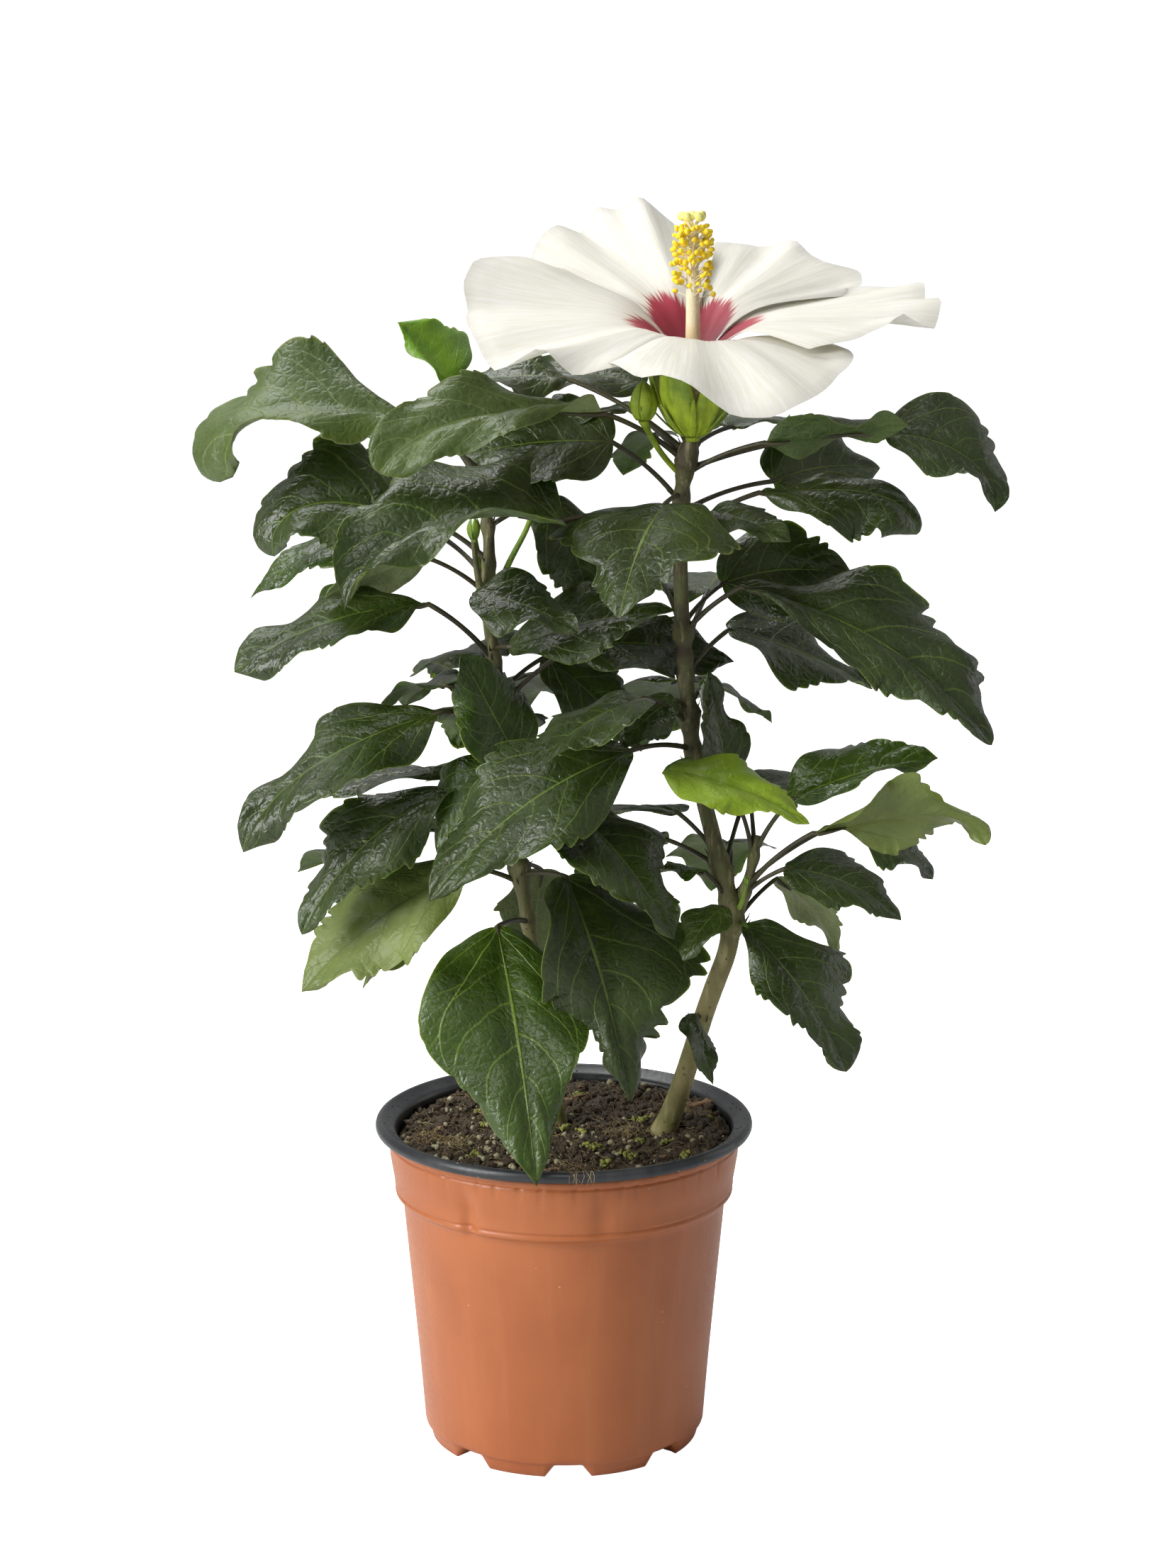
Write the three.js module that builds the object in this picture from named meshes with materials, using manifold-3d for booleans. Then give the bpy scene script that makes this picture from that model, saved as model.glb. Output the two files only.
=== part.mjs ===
// A potted hibiscus: two woody stems with lobed leaves and one open bloom, in a round nursery pot.
// Millimetres, +Z up. The origin is the centre of the pot's underside, and -Y is the plant's front.

import * as THREE from 'three';
import { mergeGeometries, mergeVertices } from 'three/addons/utils/BufferGeometryUtils.js';
import Module from 'manifold-3d';

const wasm = await Module();
wasm.setup();

// ---- Driving dimensions ------------------------------------------------------------------------------

const gap = 0.3;                // clearance between neighbouring solids

const pot = {
  height: 110, wall: 1.1, floor: 1.6, segments: 40,
  footRadius: 46.5, footTop: 47.5, footHeight: 4.8,
  baseRadius: 48.6, collarBottom: 87, bodyTop: 56, collarRadius: 58.4, collarTop: 60.8,
};
const channels = {
  count: 8, firstTurn: -88, height: 4.5, bottomWidth: 20, topWidth: 9, inner: 16, outer: 60,
};
const drain = { radius: 3.2, distance: 37, sides: 10 };
const rim = { outer: 65, inner: 59, bottom: 110.4, top: 114.1, skirtBottom: 103, skirtWall: 0.7 };
const soil = { top: 106, edgeDrop: 1.2, edgeWidth: 8 };

// Stems are rows of joints from the soil up: [x, y, z, radius].
const stems = {
  right: [
    [34, 4, 106.3, 4.6], [37, 2, 113, 3.8], [41.5, -1, 128, 3.5], [48.5, -5, 154, 3.3], [59, -5, 182, 3.3],
    [54.5, -3, 199, 2.9], [49.5, 0, 218, 2.8], [43.5, 2, 242, 2.7], [41, 3, 271, 2.6], [39.5, 3, 295, 2.5],
    [39, 2, 325, 2.4], [40.5, 0, 341, 2.2], [43, -4, 350, 2.1],
  ],
  left: [
    [-2, 17, 106.3, 3.3], [-3.5, 14, 114, 2.7], [-7, 7, 150, 2.5], [-12, 1, 182, 2.4], [-16.5, 1, 210, 2.3],
    [-19, 2, 250, 2.1], [-24, 2, 277, 2.1], [-26, 3, 296, 2.3], [-24, 6, 311, 2.0], [-27, 9, 330, 1.5],
    [-31, 12, 346, 1.1],
  ],
  rightShoot: [[58, -5, 183, 2.2], [63, -4, 198, 1.7], [66, -3, 214, 1.1]],
  leftShoot: [[-23.5, 2, 278, 1.6], [-28, 0, 296, 1.3], [-30, -1, 314, 0.8]],
};
const stemSides = 8;

const leafShape = {
  facets: [5, 4], smallFacets: [4, 2],  // facets along and across a leaf
  small: 45,                            // a leaf no longer than this gets the small facets
  marks: 24,                            // steps of the midrib
  peak: 0.36, taper: 1.05,              // where the blade is widest, how it runs out to the tip
  thickness: 0.014, thinnest: 0.9,      // share of the length, and least thickness
  heel: 0.45,                           // how far the blade's heel reaches back past the stalk
};
const leafHabit = {                     // what a leaf has unless its own row says otherwise
  wide: 0.62, fold: [14, 14], curl: -30, roll: 0, sweep: 0, hook: 0, lobe: 0.15, wave: 2, waves: 1.5,
};
const stalk = { radius: 1.0, tipRadius: 0.75, sides: 3, steps: 3, arch: 12 };

const bloom = {
  throat: [43, -5, 377], rows: 7, columns: 6, thickness: 1.2, claw: 5.5, boss: 2.8, foot: 3.4,
  petals: [
    { head: -66, sweep: 0, pitch: 10, droop: 26, hook: 30, long: 74, wide: 88, roll: 0, ruffle: 4 },
    { head: 2, sweep: 0, pitch: 16, droop: 14, hook: 0, long: 84, wide: 62, roll: 18, ruffle: 5 },
    { head: 62, sweep: 0, pitch: 30, droop: 14, hook: 0, long: 76, wide: 74, roll: 8, ruffle: 4 },
    { head: 122, sweep: 0, pitch: 46, droop: 10, hook: 0, long: 74, wide: 74, roll: 0, ruffle: 4 },
    { head: 188, sweep: 0, pitch: 18, droop: 12, hook: 0, long: 78, wide: 78, roll: -24, ruffle: 5 },
  ],
};
const column = { foot: 382, waist: 392, top: 421, radius: 2.1, brushRadius: 6, sides: 10 };
const calyx = {
  bottom: 349.8, throat: 366, top: 371, neckRadius: 3.2, bellyRadius: 7.5, mouthRadius: 8.5, sides: 10,
};
const bud = { up: 336, at: [26.5, -8, 356], radius: 4.2, height: 13, sides: 8, rows: 6 };

// ---- Foliage -----------------------------------------------------------------------------------------
// A mass of leaves is one stretch of a stem with its leaves. Each leaf row gives the height where its
// stalk leaves the stem (up), the stalk's turn, rise and length (stalk), and the blade's heading, first
// pitch, droop towards the tip and length (long). back says how the seeded rule fills the far side.

const masses = {
  leaves_right_fork: {
    stem: 'right', from: 180, to: 214, shoot: 'rightShoot',
    leaves: [
      { up: 205, on: 'rightShoot', turn: 155, rise: 72, stalk: 26,
        head: -170, pitch: 76, droop: -5, long: 42, wide: 0.5, roll: -55 },
      { up: 208, on: 'rightShoot', turn: 95, rise: 50, stalk: 24,
        head: 25, pitch: 30, droop: 10, long: 34 },
      { up: 207, on: 'rightShoot', turn: -15, rise: 58, stalk: 24,
        head: 5, pitch: 24, droop: 22, long: 52, roll: 35 },
      { up: 196, on: 'rightShoot', turn: -25, rise: 42, stalk: 32,
        head: -5, pitch: 14, droop: 0, hook: 75, long: 63, roll: -50 },
      { up: 192, turn: 24, rise: 28, stalk: 38, head: 0, pitch: -6, droop: 45, long: 38, roll: 30 },
      { up: 194, on: 'rightShoot', turn: -15, rise: 35, stalk: 17,
        head: -10, pitch: 0, droop: 45, long: 48, roll: 25 },
      { up: 184, turn: 45, rise: 30, stalk: 24, head: 5, pitch: -32, droop: 40, long: 36, roll: -30 },
      { up: 183, turn: -70, rise: 18, stalk: 12,
        head: -36, pitch: -28, droop: 30, long: 62, wide: 0.8, roll: 10 },
      { up: 183, turn: -120, rise: 40, stalk: 14,
        head: -140, pitch: -28, droop: 30, long: 24, wide: 0.8 },
      { up: 188, turn: -158, rise: 55, stalk: 18, head: -165, pitch: 15, droop: 30, long: 20 },
    ],
    back: { count: 4, seed: 3, long: [42, 62] },
  },
  leaves_right_waist: {
    stem: 'right', from: 236, to: 263.7,
    leaves: [
      { up: 256, turn: 60, rise: 35, stalk: 14, head: 20, pitch: -20, droop: 25, long: 30 },
      { up: 256, turn: -120, rise: 30, stalk: 11,
        head: -150, pitch: -16, droop: 40, long: 27, roll: -40 },
      { up: 243, turn: -132, rise: 8, stalk: 31,
        head: -161, pitch: -14, droop: 38, long: 86, roll: -38, wide: 0.55 },
      { up: 239, turn: -113, rise: 4, stalk: 26, head: -15, pitch: -8, droop: 25, long: 54, roll: 15 },
    ],
    back: { count: 4, seed: 5, long: [50, 70] },
  },
  leaves_right_middle: {
    stem: 'right', from: 264, to: 288,
    leaves: [
      { up: 282, turn: -26, rise: 28, stalk: 23,
        head: -13, pitch: -8, droop: 15, hook: 35, long: 98, roll: 34 },
      { up: 285, turn: 40, rise: 35, stalk: 22,
        head: 4, pitch: 22, droop: 40, long: 46, roll: 60, wide: 0.7 },
      { up: 268, turn: 25, rise: 42, stalk: 22, head: 12, pitch: -20, droop: 20, long: 56, roll: 25 },
    ],
    back: { count: 4, seed: 8, long: [50, 75] },
  },
  leaves_right_crown: {
    stem: 'right', from: 312, to: 349.5, bud: true,
    leaves: [
      { up: 336, turn: -20, rise: 24, stalk: 31,
        head: -8, pitch: 8, droop: -8, hook: 20, long: 48, roll: -30 },
      { up: 338, turn: -6, rise: 5, stalk: 56,
        head: -8, pitch: 16, droop: 20, hook: 60, long: 56, roll: 42, wide: 0.72 },
      { up: 341, turn: -157, rise: 31, stalk: 34,
        head: -158, pitch: 8, droop: 22, hook: 45, long: 86, roll: -30, fold: [5, 35] },
      { up: 327, turn: -175, rise: 42, stalk: 31,
        head: 174, pitch: 4, droop: 20, long: 50, roll: -40, wide: 0.75 },
      { up: 344, turn: 158, rise: 28, stalk: 50, head: -174, pitch: 8, droop: 25, long: 40, roll: -20 },
      { up: 346, turn: 118, rise: 30, stalk: 36, head: 165, pitch: 14, droop: 20, long: 44, roll: -20 },
      { up: 345, turn: 42, rise: 18, stalk: 21, head: 60, pitch: 6, droop: 20, long: 40 },
      { up: 322, turn: -156, rise: 2, stalk: 43,
        head: -154, pitch: 12, droop: 48, hook: 30, long: 90, roll: -38 },
      { up: 330, turn: -118, rise: -8, stalk: 12,
        head: -112, pitch: -15, droop: 45, long: 54, wide: 0.85, lobe: 0.4 },
      { up: 316, turn: 5, rise: 28, stalk: 30,
        head: -5, pitch: -2, droop: 15, hook: 40, long: 60, roll: 22, fold: [40, 10] },
      { up: 318, turn: -52, rise: 25, stalk: 17, head: -32, pitch: 2, droop: 30, long: 32, roll: 20 },
    ],
    back: { count: 5, seed: 13, long: [55, 78] },
  },
  leaves_left_low: {
    stem: 'left', from: 180, to: 215,
    leaves: [
      { up: 183, turn: -118, rise: 8, stalk: 22,
        head: -74, pitch: -37, droop: 30, long: 94, wide: 0.6 },
      { up: 199, turn: -44, rise: 9, stalk: 22,
        head: -57, pitch: -48, droop: 25, long: 80, wide: 0.6, lobe: 0.4 },
      { up: 212, turn: -37, rise: 34, stalk: 26,
        head: -40, pitch: -22, droop: 35, long: 62, wide: 0.65 },
      { up: 196, turn: -157, rise: 22, stalk: 20,
        head: -170, pitch: -20, droop: 30, long: 72, roll: -32, wide: 0.56 },
      { up: 200, turn: 143, rise: 20, stalk: 16,
        head: 178, pitch: -38, droop: 22, long: 66, roll: -15, wide: 0.5 },
      { up: 203, turn: 60, rise: -18, stalk: 16, head: 105, pitch: -62, droop: 20, long: 40 },
    ],
    back: { count: 4, seed: 21, long: [60, 80] },
  },
  leaves_left_waist: {
    stem: 'left', from: 228, to: 267.7,
    leaves: [
      { up: 253, turn: -146, rise: 12, stalk: 27,
        head: -167, pitch: -12, droop: 30, hook: 35, long: 84, roll: -28, wide: 0.5 },
      { up: 243, turn: -70, rise: -10, stalk: 9,
        head: -162, pitch: 62, droop: 0, long: 42, roll: -60, wide: 0.62 },
      { up: 240, turn: -98, rise: 4, stalk: 12,
        head: -165, pitch: -42, droop: 20, long: 38, roll: -50, wide: 0.7 },
      { up: 232, turn: -149, rise: 2, stalk: 19,
        head: -165, pitch: -16, droop: 50, long: 76, roll: -25, wide: 0.5 },
      { up: 238, turn: 140, rise: -12, stalk: 22,
        head: -180, pitch: -4, droop: 20, long: 70, wide: 0.36 },
      { up: 262, turn: 47, rise: 24, stalk: 24, head: -8, pitch: -34, droop: 20, long: 46, roll: 35 },
      { up: 258, turn: 18, rise: 36, stalk: 33, head: 13, pitch: 4, droop: 25, long: 56, roll: 28 },
    ],
    back: { count: 4, seed: 34, long: [50, 72] },
  },
  leaves_left_crown: {
    stem: 'left', from: 268, to: 346, shoot: 'leftShoot',
    leaves: [
      { up: 273, turn: -155, rise: 42, stalk: 32,
        head: -166, pitch: 2, droop: 38, long: 70, roll: -28, wide: 0.56 },
      { up: 277, turn: -59, rise: 14, stalk: 12,
        head: -9, pitch: 24, droop: 20, long: 58, roll: 35, wide: 0.5 },
      { up: 292, turn: -104, rise: 22, stalk: 18, head: -24, pitch: 0, droop: 30, long: 40, roll: 30 },
      { up: 306, turn: 174, rise: 26, stalk: 22,
        head: -170, pitch: 32, droop: 60, long: 64, roll: -30, wide: 0.6 },
      { up: 300, turn: 132, rise: 28, stalk: 26,
        head: -170, pitch: 14, droop: 60, long: 72, roll: -12, wide: 0.48 },
      { up: 296, turn: -152, rise: 32, stalk: 27,
        head: -174, pitch: -12, droop: 20, long: 36, roll: 45 },
      { up: 318, turn: 16, rise: 22, stalk: 22, head: -32, pitch: -50, droop: 30, long: 42, roll: 30 },
      { up: 335, turn: -149, rise: 45, stalk: 30,
        head: -173, pitch: 2, droop: -8, hook: 140, long: 90, roll: 16, wide: 0.56, fold: [-5, 58] },
      { up: 345, turn: -174, rise: 62, stalk: 24,
        head: -168, pitch: 48, droop: 0, long: 32, wide: 0.95, roll: -68 },
    ],
    back: { count: 4, seed: 55, long: [55, 80] },
  },
};
const sprigs = {                         // single leaves on a bare stretch of stem
  stem_right: [
    { up: 150, turn: -114, rise: 18, stalk: 14, head: -38, pitch: -54, droop: 20, long: 25, wide: 0.55 },
  ],
};

// ---- Solids from three.js geometry -------------------------------------------------------------------

function solid(geometry) {
  geometry.deleteAttribute('normal');
  geometry.deleteAttribute('uv');
  const merged = mergeVertices(geometry, 1e-4);
  const corners = merged.index.array;
  const kept = [];
  for (let i = 0; i < corners.length; i += 3) {
    const [a, b, c] = corners.slice(i, i + 3);
    if (a !== b && b !== c && c !== a) kept.push(a, b, c);
  }
  const vertProperties = new Float32Array(merged.attributes.position.array);
  return new wasm.Manifold(new wasm.Mesh({ numProp: 3, vertProperties, triVerts: new Uint32Array(kept) }));
}

function join(solids) {
  return solids.reduce((whole, piece) => whole.add(piece));
}

function geometryOf(body) {
  const mesh = body.getMesh();
  const geometry = new THREE.BufferGeometry();
  geometry.setAttribute('position', new THREE.BufferAttribute(mesh.vertProperties, 3));
  geometry.setIndex(new THREE.BufferAttribute(mesh.triVerts, 1));
  geometry.computeVertexNormals();
  return geometry;
}

// A closed profile of [radius, height] points turned about the Z axis.
function turned(profile, segments) {
  const points = profile.map(([radius, height]) => new THREE.Vector2(radius, height));
  return solid(new THREE.LatheGeometry(points, segments).rotateX(Math.PI / 2));
}

// A unit vector at a turn about Z and a rise above the level, in degrees.
function direction(turn, rise) {
  const t = THREE.MathUtils.degToRad(turn);
  const r = THREE.MathUtils.degToRad(rise);
  return new THREE.Vector3(Math.cos(t) * Math.cos(r), Math.sin(t) * Math.cos(r), Math.sin(r));
}

// A tapering limb: a cylinder bent along its joints. Level rings give it level cuts at both ends.
function limb(joints, sides, level) {
  const rows = joints.length - 1;
  const tube = new THREE.CylinderGeometry(1, 1, rows, sides, rows);
  const chord = joints[rows].at.clone().sub(joints[0].at).normalize();
  const helper = Math.abs(chord.z) > 0.8 ? new THREE.Vector3(1, 0, 0) : new THREE.Vector3(0, 0, 1);
  const spots = tube.attributes.position;
  for (let i = 0; i < spots.count; i += 1) {
    const k = Math.round(spots.getY(i) + rows / 2);
    const before = joints[Math.max(k - 1, 0)].at;
    const after = joints[Math.min(k + 1, rows)].at;
    const along = level ? new THREE.Vector3(0, 0, 1) : after.clone().sub(before).normalize();
    const wide = helper.clone().addScaledVector(along, -helper.dot(along)).normalize();
    const deep = new THREE.Vector3().crossVectors(wide, along);
    const { at, radius } = joints[k];
    const spot = at.clone().addScaledVector(wide, spots.getX(i) * radius);
    spot.addScaledVector(deep, spots.getZ(i) * radius);
    spots.setXYZ(i, spot.x, spot.y, spot.z);
  }
  return solid(tube);
}

// A thin closed lens: two grids that share their edge. place(t, across, side) gives each point, with t
// from 0 at the base to 1 at the tip, across from -1 to 1, and side 1 on top and -1 underneath.
function sheet(rows, columns, place) {
  const faces = [1, -1].map((side) => {
    const grid = new THREE.PlaneGeometry(1, 1, columns, rows);
    const spots = grid.attributes.position;
    for (let i = 0; i < spots.count; i += 1) {
      const spot = place(spots.getY(i) + 0.5, -2 * spots.getX(i), side);
      spots.setXYZ(i, spot.x, spot.y, spot.z);
    }
    if (side < 0) grid.index.array.reverse();
    return grid;
  });
  return solid(mergeGeometries(faces));
}

// ---- Leaves and stems --------------------------------------------------------------------------------

function stemAt(name, height) {
  const joints = stems[name];
  const above = Math.max(1, joints.findIndex((joint) => joint[2] >= height));
  const [low, high] = [joints[above - 1], joints[above]];
  const share = (height - low[2]) / (high[2] - low[2]);
  const [x, y, z, radius] = low.map((value, i) => value + (high[i] - value) * share);
  return { at: new THREE.Vector3(x, y, z), radius };
}

function stemPiece(name, from, to) {
  const heights = stems[name].map((joint) => joint[2]).filter((z) => z > from + 2 && z < to - 2);
  return limb([from, ...heights, to].map((z) => stemAt(name, z)), stemSides, true);
}

function bump(t, middle, spread) {
  return Math.exp(-(((t - middle) / spread) ** 2));
}

function halfWidth(leaf, t) {
  const { peak, taper } = leafShape;
  const rise = (taper * peak) / (1 - peak);
  const outline = (t / peak) ** rise * ((1 - t) / (1 - peak)) ** taper;
  const lobes = 1 + leaf.lobe * (bump(t, 0.4, 0.13) - 0.7 * bump(t, 0.66, 0.13));
  return 0.5 * leaf.long * leaf.wide * outline * lobes;
}

// The way a midrib runs at t: it droops evenly, and a hook bends mostly its tip.
function ahead(leaf, t) {
  return direction(leaf.head + leaf.sweep * t, leaf.pitch - leaf.droop * t - leaf.hook * t ** 4);
}

function midrib(leaf, base) {
  const points = [base.clone()];
  for (let i = 0; i < leafShape.marks; i += 1) {
    const step = ahead(leaf, (i + 0.5) / leafShape.marks);
    points.push(points[i].clone().addScaledVector(step, leaf.long / leafShape.marks));
  }
  return points;
}

// A place on the midrib with its own axes: along it, to its left and up off the blade.
function station(leaf, spine, t, rollDegrees) {
  const reach = t * leafShape.marks;
  const mark = Math.min(Math.floor(reach), leafShape.marks - 1);
  const at = spine[mark].clone().lerp(spine[mark + 1], reach - mark);
  const along = ahead(leaf, t);
  const level = direction(leaf.head + leaf.sweep * t + 90, 0);
  const upright = new THREE.Vector3().crossVectors(along, level);
  const roll = THREE.MathUtils.degToRad(rollDegrees);
  const left = level.clone().multiplyScalar(Math.cos(roll)).addScaledVector(upright, Math.sin(roll));
  const up = upright.clone().multiplyScalar(Math.cos(roll)).addScaledVector(level, -Math.sin(roll));
  return { at, along, left, up };
}

// A point of the blade, lifted off its middle surface by lift.
function bladePoint(leaf, spine, t, across, lift) {
  const { at, along, left, up } = station(leaf, spine, t, leaf.roll);
  const u = Math.abs(across);
  const width = halfWidth(leaf, t);
  const fold = THREE.MathUtils.degToRad(across > 0 ? leaf.fold[0] : leaf.fold[1]);
  const bend = THREE.MathUtils.degToRad(leaf.curl);
  const out = (width * (Math.sin(fold + bend * u) - Math.sin(fold))) / bend;
  const rise = (width * (Math.cos(fold) - Math.cos(fold + bend * u))) / bend;
  const beat = 2 * Math.PI * leaf.waves * t + leaf.phase + 2 * Math.sign(across);
  const ripple = leaf.wave * u * u * Math.sin(beat) * Math.min(1, 4 * t, 4 * (1 - t));
  const heel = leafShape.heel * width * u * u * (1 - t) ** 3;
  const forward = 0.1 * leaf.long * leaf.lobe * bump(t, 0.45, 0.15) * u - heel;
  return at.addScaledVector(left, Math.sign(across) * out)
    .addScaledVector(up, rise + ripple + lift)
    .addScaledVector(along, forward);
}

function blade(leaf, spine) {
  const thickness = Math.max(leafShape.thinnest, leafShape.thickness * leaf.long);
  const [rows, columns] = leaf.long > leafShape.small ? leafShape.facets : leafShape.smallFacets;
  return sheet(rows, columns, (t, across, side) => {
    const swell = (1 - across * across) * Math.min(1, 8 * t, 6 * (1 - t));
    return bladePoint(leaf, spine, t, across, side * 0.5 * thickness * swell);
  });
}

// The stalk arches from the middle of its stem to the blade's base and runs on a little way under it.
function stalkJoints(leaf, root, base, spine) {
  const knee = root.clone().addScaledVector(direction(leaf.turn, leaf.rise + stalk.arch), leaf.stalk / 2);
  const arch = new THREE.QuadraticBezierCurve3(root, knee, base);
  const joints = arch.getPoints(stalk.steps).map((at, i) => {
    const radius = THREE.MathUtils.lerp(stalk.radius, stalk.tipRadius, i / stalk.steps);
    return { at, radius };
  });
  joints.push({ at: bladePoint(leaf, spine, 0.12, 0, 0), radius: 0.6 * stalk.tipRadius });
  return joints;
}

function seeded(seed) {
  let state = seed;
  return () => {
    state = (Math.imul(state, 1664525) + 1013904223) >>> 0;
    return state / 4294967296;
  };
}

function grownLeaf(row, mass, phase) {
  const leaf = { ...leafHabit, phase, ...row };
  const root = stemAt(leaf.on ?? mass.stem, leaf.up).at;
  const base = root.clone().addScaledVector(direction(leaf.turn, leaf.rise), leaf.stalk);
  const spine = midrib(leaf, base);
  return { leaf, root, base, spine };
}

// Points spread over a blade and its stalk, which other leaves keep clear of.
function feelers({ leaf, root, base, spine }) {
  const stalkSpots = [0.55, 0.75, 0.95].map((share) => root.clone().lerp(base, share));
  const bladeSpots = [];
  for (let t = 0.05; t < 1; t += 0.15) {
    for (const across of [-0.9, -0.45, 0, 0.45, 0.9]) {
      bladeSpots.push(bladePoint(leaf, spine, t, across, 0));
    }
  }
  return { stalkSpots, bladeSpots };
}

const clearance = 7;             // least distance between a filling leaf and any other leaf
const taken = [];                // feelers of the leaves that have grown so far
const grown = {};

function takeSpace({ stalkSpots, bladeSpots }) {
  taken.push(...stalkSpots, ...bladeSpots);
}

for (const [name, mass] of Object.entries(masses)) {
  const random = seeded(mass.back.seed);
  grown[name] = mass.leaves.map((row) => grownLeaf(row, mass, 6 * random()));
  for (const leaf of grown[name]) takeSpace(feelers(leaf));
}
for (const [name, mass] of Object.entries(masses)) {
  const random = seeded(mass.back.seed + 100);
  const { count, long } = mass.back;
  for (let i = 0; i < count; i += 1) {
    for (let attempt = 0; attempt < 14; attempt += 1) {
      const turn = 90 + (150 * (i + random() - count / 2)) / count + 8 * attempt;
      const rise = 15 + 30 * random();
      const row = {
        up: mass.from + (mass.to - mass.from) * (0.15 + 0.7 * random()),
        turn, rise, stalk: 18 + 14 * random(),
        head: turn + 30 * (random() - 0.5), pitch: rise - 25 - 20 * random(), droop: 25 + 30 * random(),
        long: long[0] + (long[1] - long[0]) * random(), roll: 30 * (random() - 0.5),
      };
      const leaf = grownLeaf(row, mass, 6 * random());
      const spots = feelers(leaf);
      if (spots.bladeSpots.every((spot) => taken.every((other) => spot.distanceTo(other) > clearance))) {
        grown[name].push(leaf);
        takeSpace(spots);
        break;
      }
    }
  }
}

function budPieces() {
  const root = stemAt('right', bud.up).at;
  const foot = new THREE.Vector3(...bud.at);
  const knee = root.clone().lerp(foot, 0.5).add(new THREE.Vector3(-2, 0, -2));
  const path = [{ at: root, radius: 1.1 }, { at: knee, radius: 1 }, { at: foot, radius: 1.2 }];
  const ball = new THREE.SphereGeometry(1, bud.sides, bud.rows).rotateX(Math.PI / 2);
  ball.scale(bud.radius, bud.radius, bud.height / 2).translate(foot.x, foot.y, foot.z + bud.height / 2 - 1);
  return [limb(path, stalk.sides, false), solid(ball)];
}

function foliage(name) {
  const mass = masses[name];
  const pieces = [stemPiece(mass.stem, mass.from, mass.to)];
  if (mass.shoot) {
    const path = stems[mass.shoot];
    pieces.push(stemPiece(mass.shoot, path[0][2], path[path.length - 1][2]));
  }
  for (const { leaf, root, base, spine } of grown[name]) {
    pieces.push(limb(stalkJoints(leaf, root, base, spine), stalk.sides, false), blade(leaf, spine));
  }
  if (mass.bud) pieces.push(...budPieces());
  return join(pieces);
}

// ---- Bloom -------------------------------------------------------------------------------------------

function petalPoint(petal, spine, t, across, lift) {
  const { at, along, left, up } = station(petal, spine, t, petal.roll * Math.min(1, 2.5 * t));
  const opening = Math.sin((Math.PI / 2) * Math.min(1, 1.35 * t));
  const spread = bloom.claw + (petal.wide / 2 - bloom.claw) * opening;
  const width = spread * Math.sqrt(1 - t ** 5);
  const dish = 0.16 * width * across * across * (1 - t);
  const ruffle = petal.ruffle * t * t * Math.sin(5.5 * across + petal.head) * Math.abs(across);
  return at.addScaledVector(left, width * across)
    .addScaledVector(up, dish + ruffle + lift)
    .addScaledVector(along, -0.12 * width * across * across * t);
}

function petals() {
  const throat = new THREE.Vector3(...bloom.throat);
  const pieces = bloom.petals.map((petal) => {
    const spine = midrib(petal, throat);
    return sheet(bloom.rows, bloom.columns, (t, across, side) => {
      const swell = (1 - across * across) * Math.min(1, 6 * t, 6 * (1 - t));
      return petalPoint(petal, spine, t, across, side * 0.5 * bloom.thickness * swell);
    });
  });
  const seat = calyx.throat + gap;
  const lip = throat.z + 1;
  const bossTop = column.foot - gap;
  const cup = [[0, seat], [bloom.foot, seat], [bloom.claw + 1, lip], [0, lip]];
  const boss = [[0, throat.z], [bloom.boss, throat.z], [bloom.boss, bossTop], [0, bossTop]];
  for (const profile of [cup, boss]) {
    pieces.push(turned(profile, column.sides).translate([throat.x, throat.y, 0]));
  }
  return join(pieces);
}

function columnBody() {
  const { foot, waist, top, radius, brushRadius } = column;
  const brush = top - waist;
  const profile = [
    [0, foot], [radius, foot], [radius * 0.8, waist], [brushRadius * 0.7, waist + 0.12 * brush],
    [brushRadius, waist + 0.4 * brush], [brushRadius * 0.9, waist + 0.8 * brush], [brushRadius * 0.45, top],
    [0, top],
  ];
  return turned(profile, column.sides).translate([bloom.throat[0], bloom.throat[1], 0]);
}

function calyxBody() {
  const { bottom, throat, top, neckRadius, bellyRadius, mouthRadius, sides } = calyx;
  const profile = [
    [0, bottom], [neckRadius, bottom], [bellyRadius, bottom + 5], [mouthRadius, top],
    [mouthRadius - 1.4, top], [bloom.foot + 0.6, throat], [0, throat],
  ];
  return turned(profile, sides).translate([bloom.throat[0], bloom.throat[1], 0]);
}

// ---- Pot, rim and soil -------------------------------------------------------------------------------

function channelCutter(grow) {
  const { count, firstTurn, height, bottomWidth, topWidth, inner, outer } = channels;
  const [low, high] = [bottomWidth / 2 + grow, topWidth / 2 + grow];
  const section = new THREE.Shape([
    new THREE.Vector2(-low, -1), new THREE.Vector2(low, -1),
    new THREE.Vector2(high, height + grow), new THREE.Vector2(-high, height + grow),
  ]);
  const cutters = Array.from({ length: count }, (_, i) => {
    const bar = new THREE.ExtrudeGeometry(section, { depth: outer - inner + grow, bevelEnabled: false });
    bar.rotateX(Math.PI / 2).rotateZ(Math.PI / 2).translate(inner - grow, 0, 0);
    return solid(bar.rotateZ(THREE.MathUtils.degToRad(firstTurn + (360 / count) * i)));
  });
  return join(cutters);
}

function potProfile(inset) {
  const p = pot;
  return [
    [p.footRadius - inset, inset], [p.footTop - inset, p.footHeight - 1],
    [p.baseRadius - inset, p.footHeight + 2], [p.bodyTop - inset, p.collarBottom],
    [p.collarRadius - inset, p.collarBottom + 4.5], [p.collarTop - inset, p.height],
  ];
}

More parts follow.
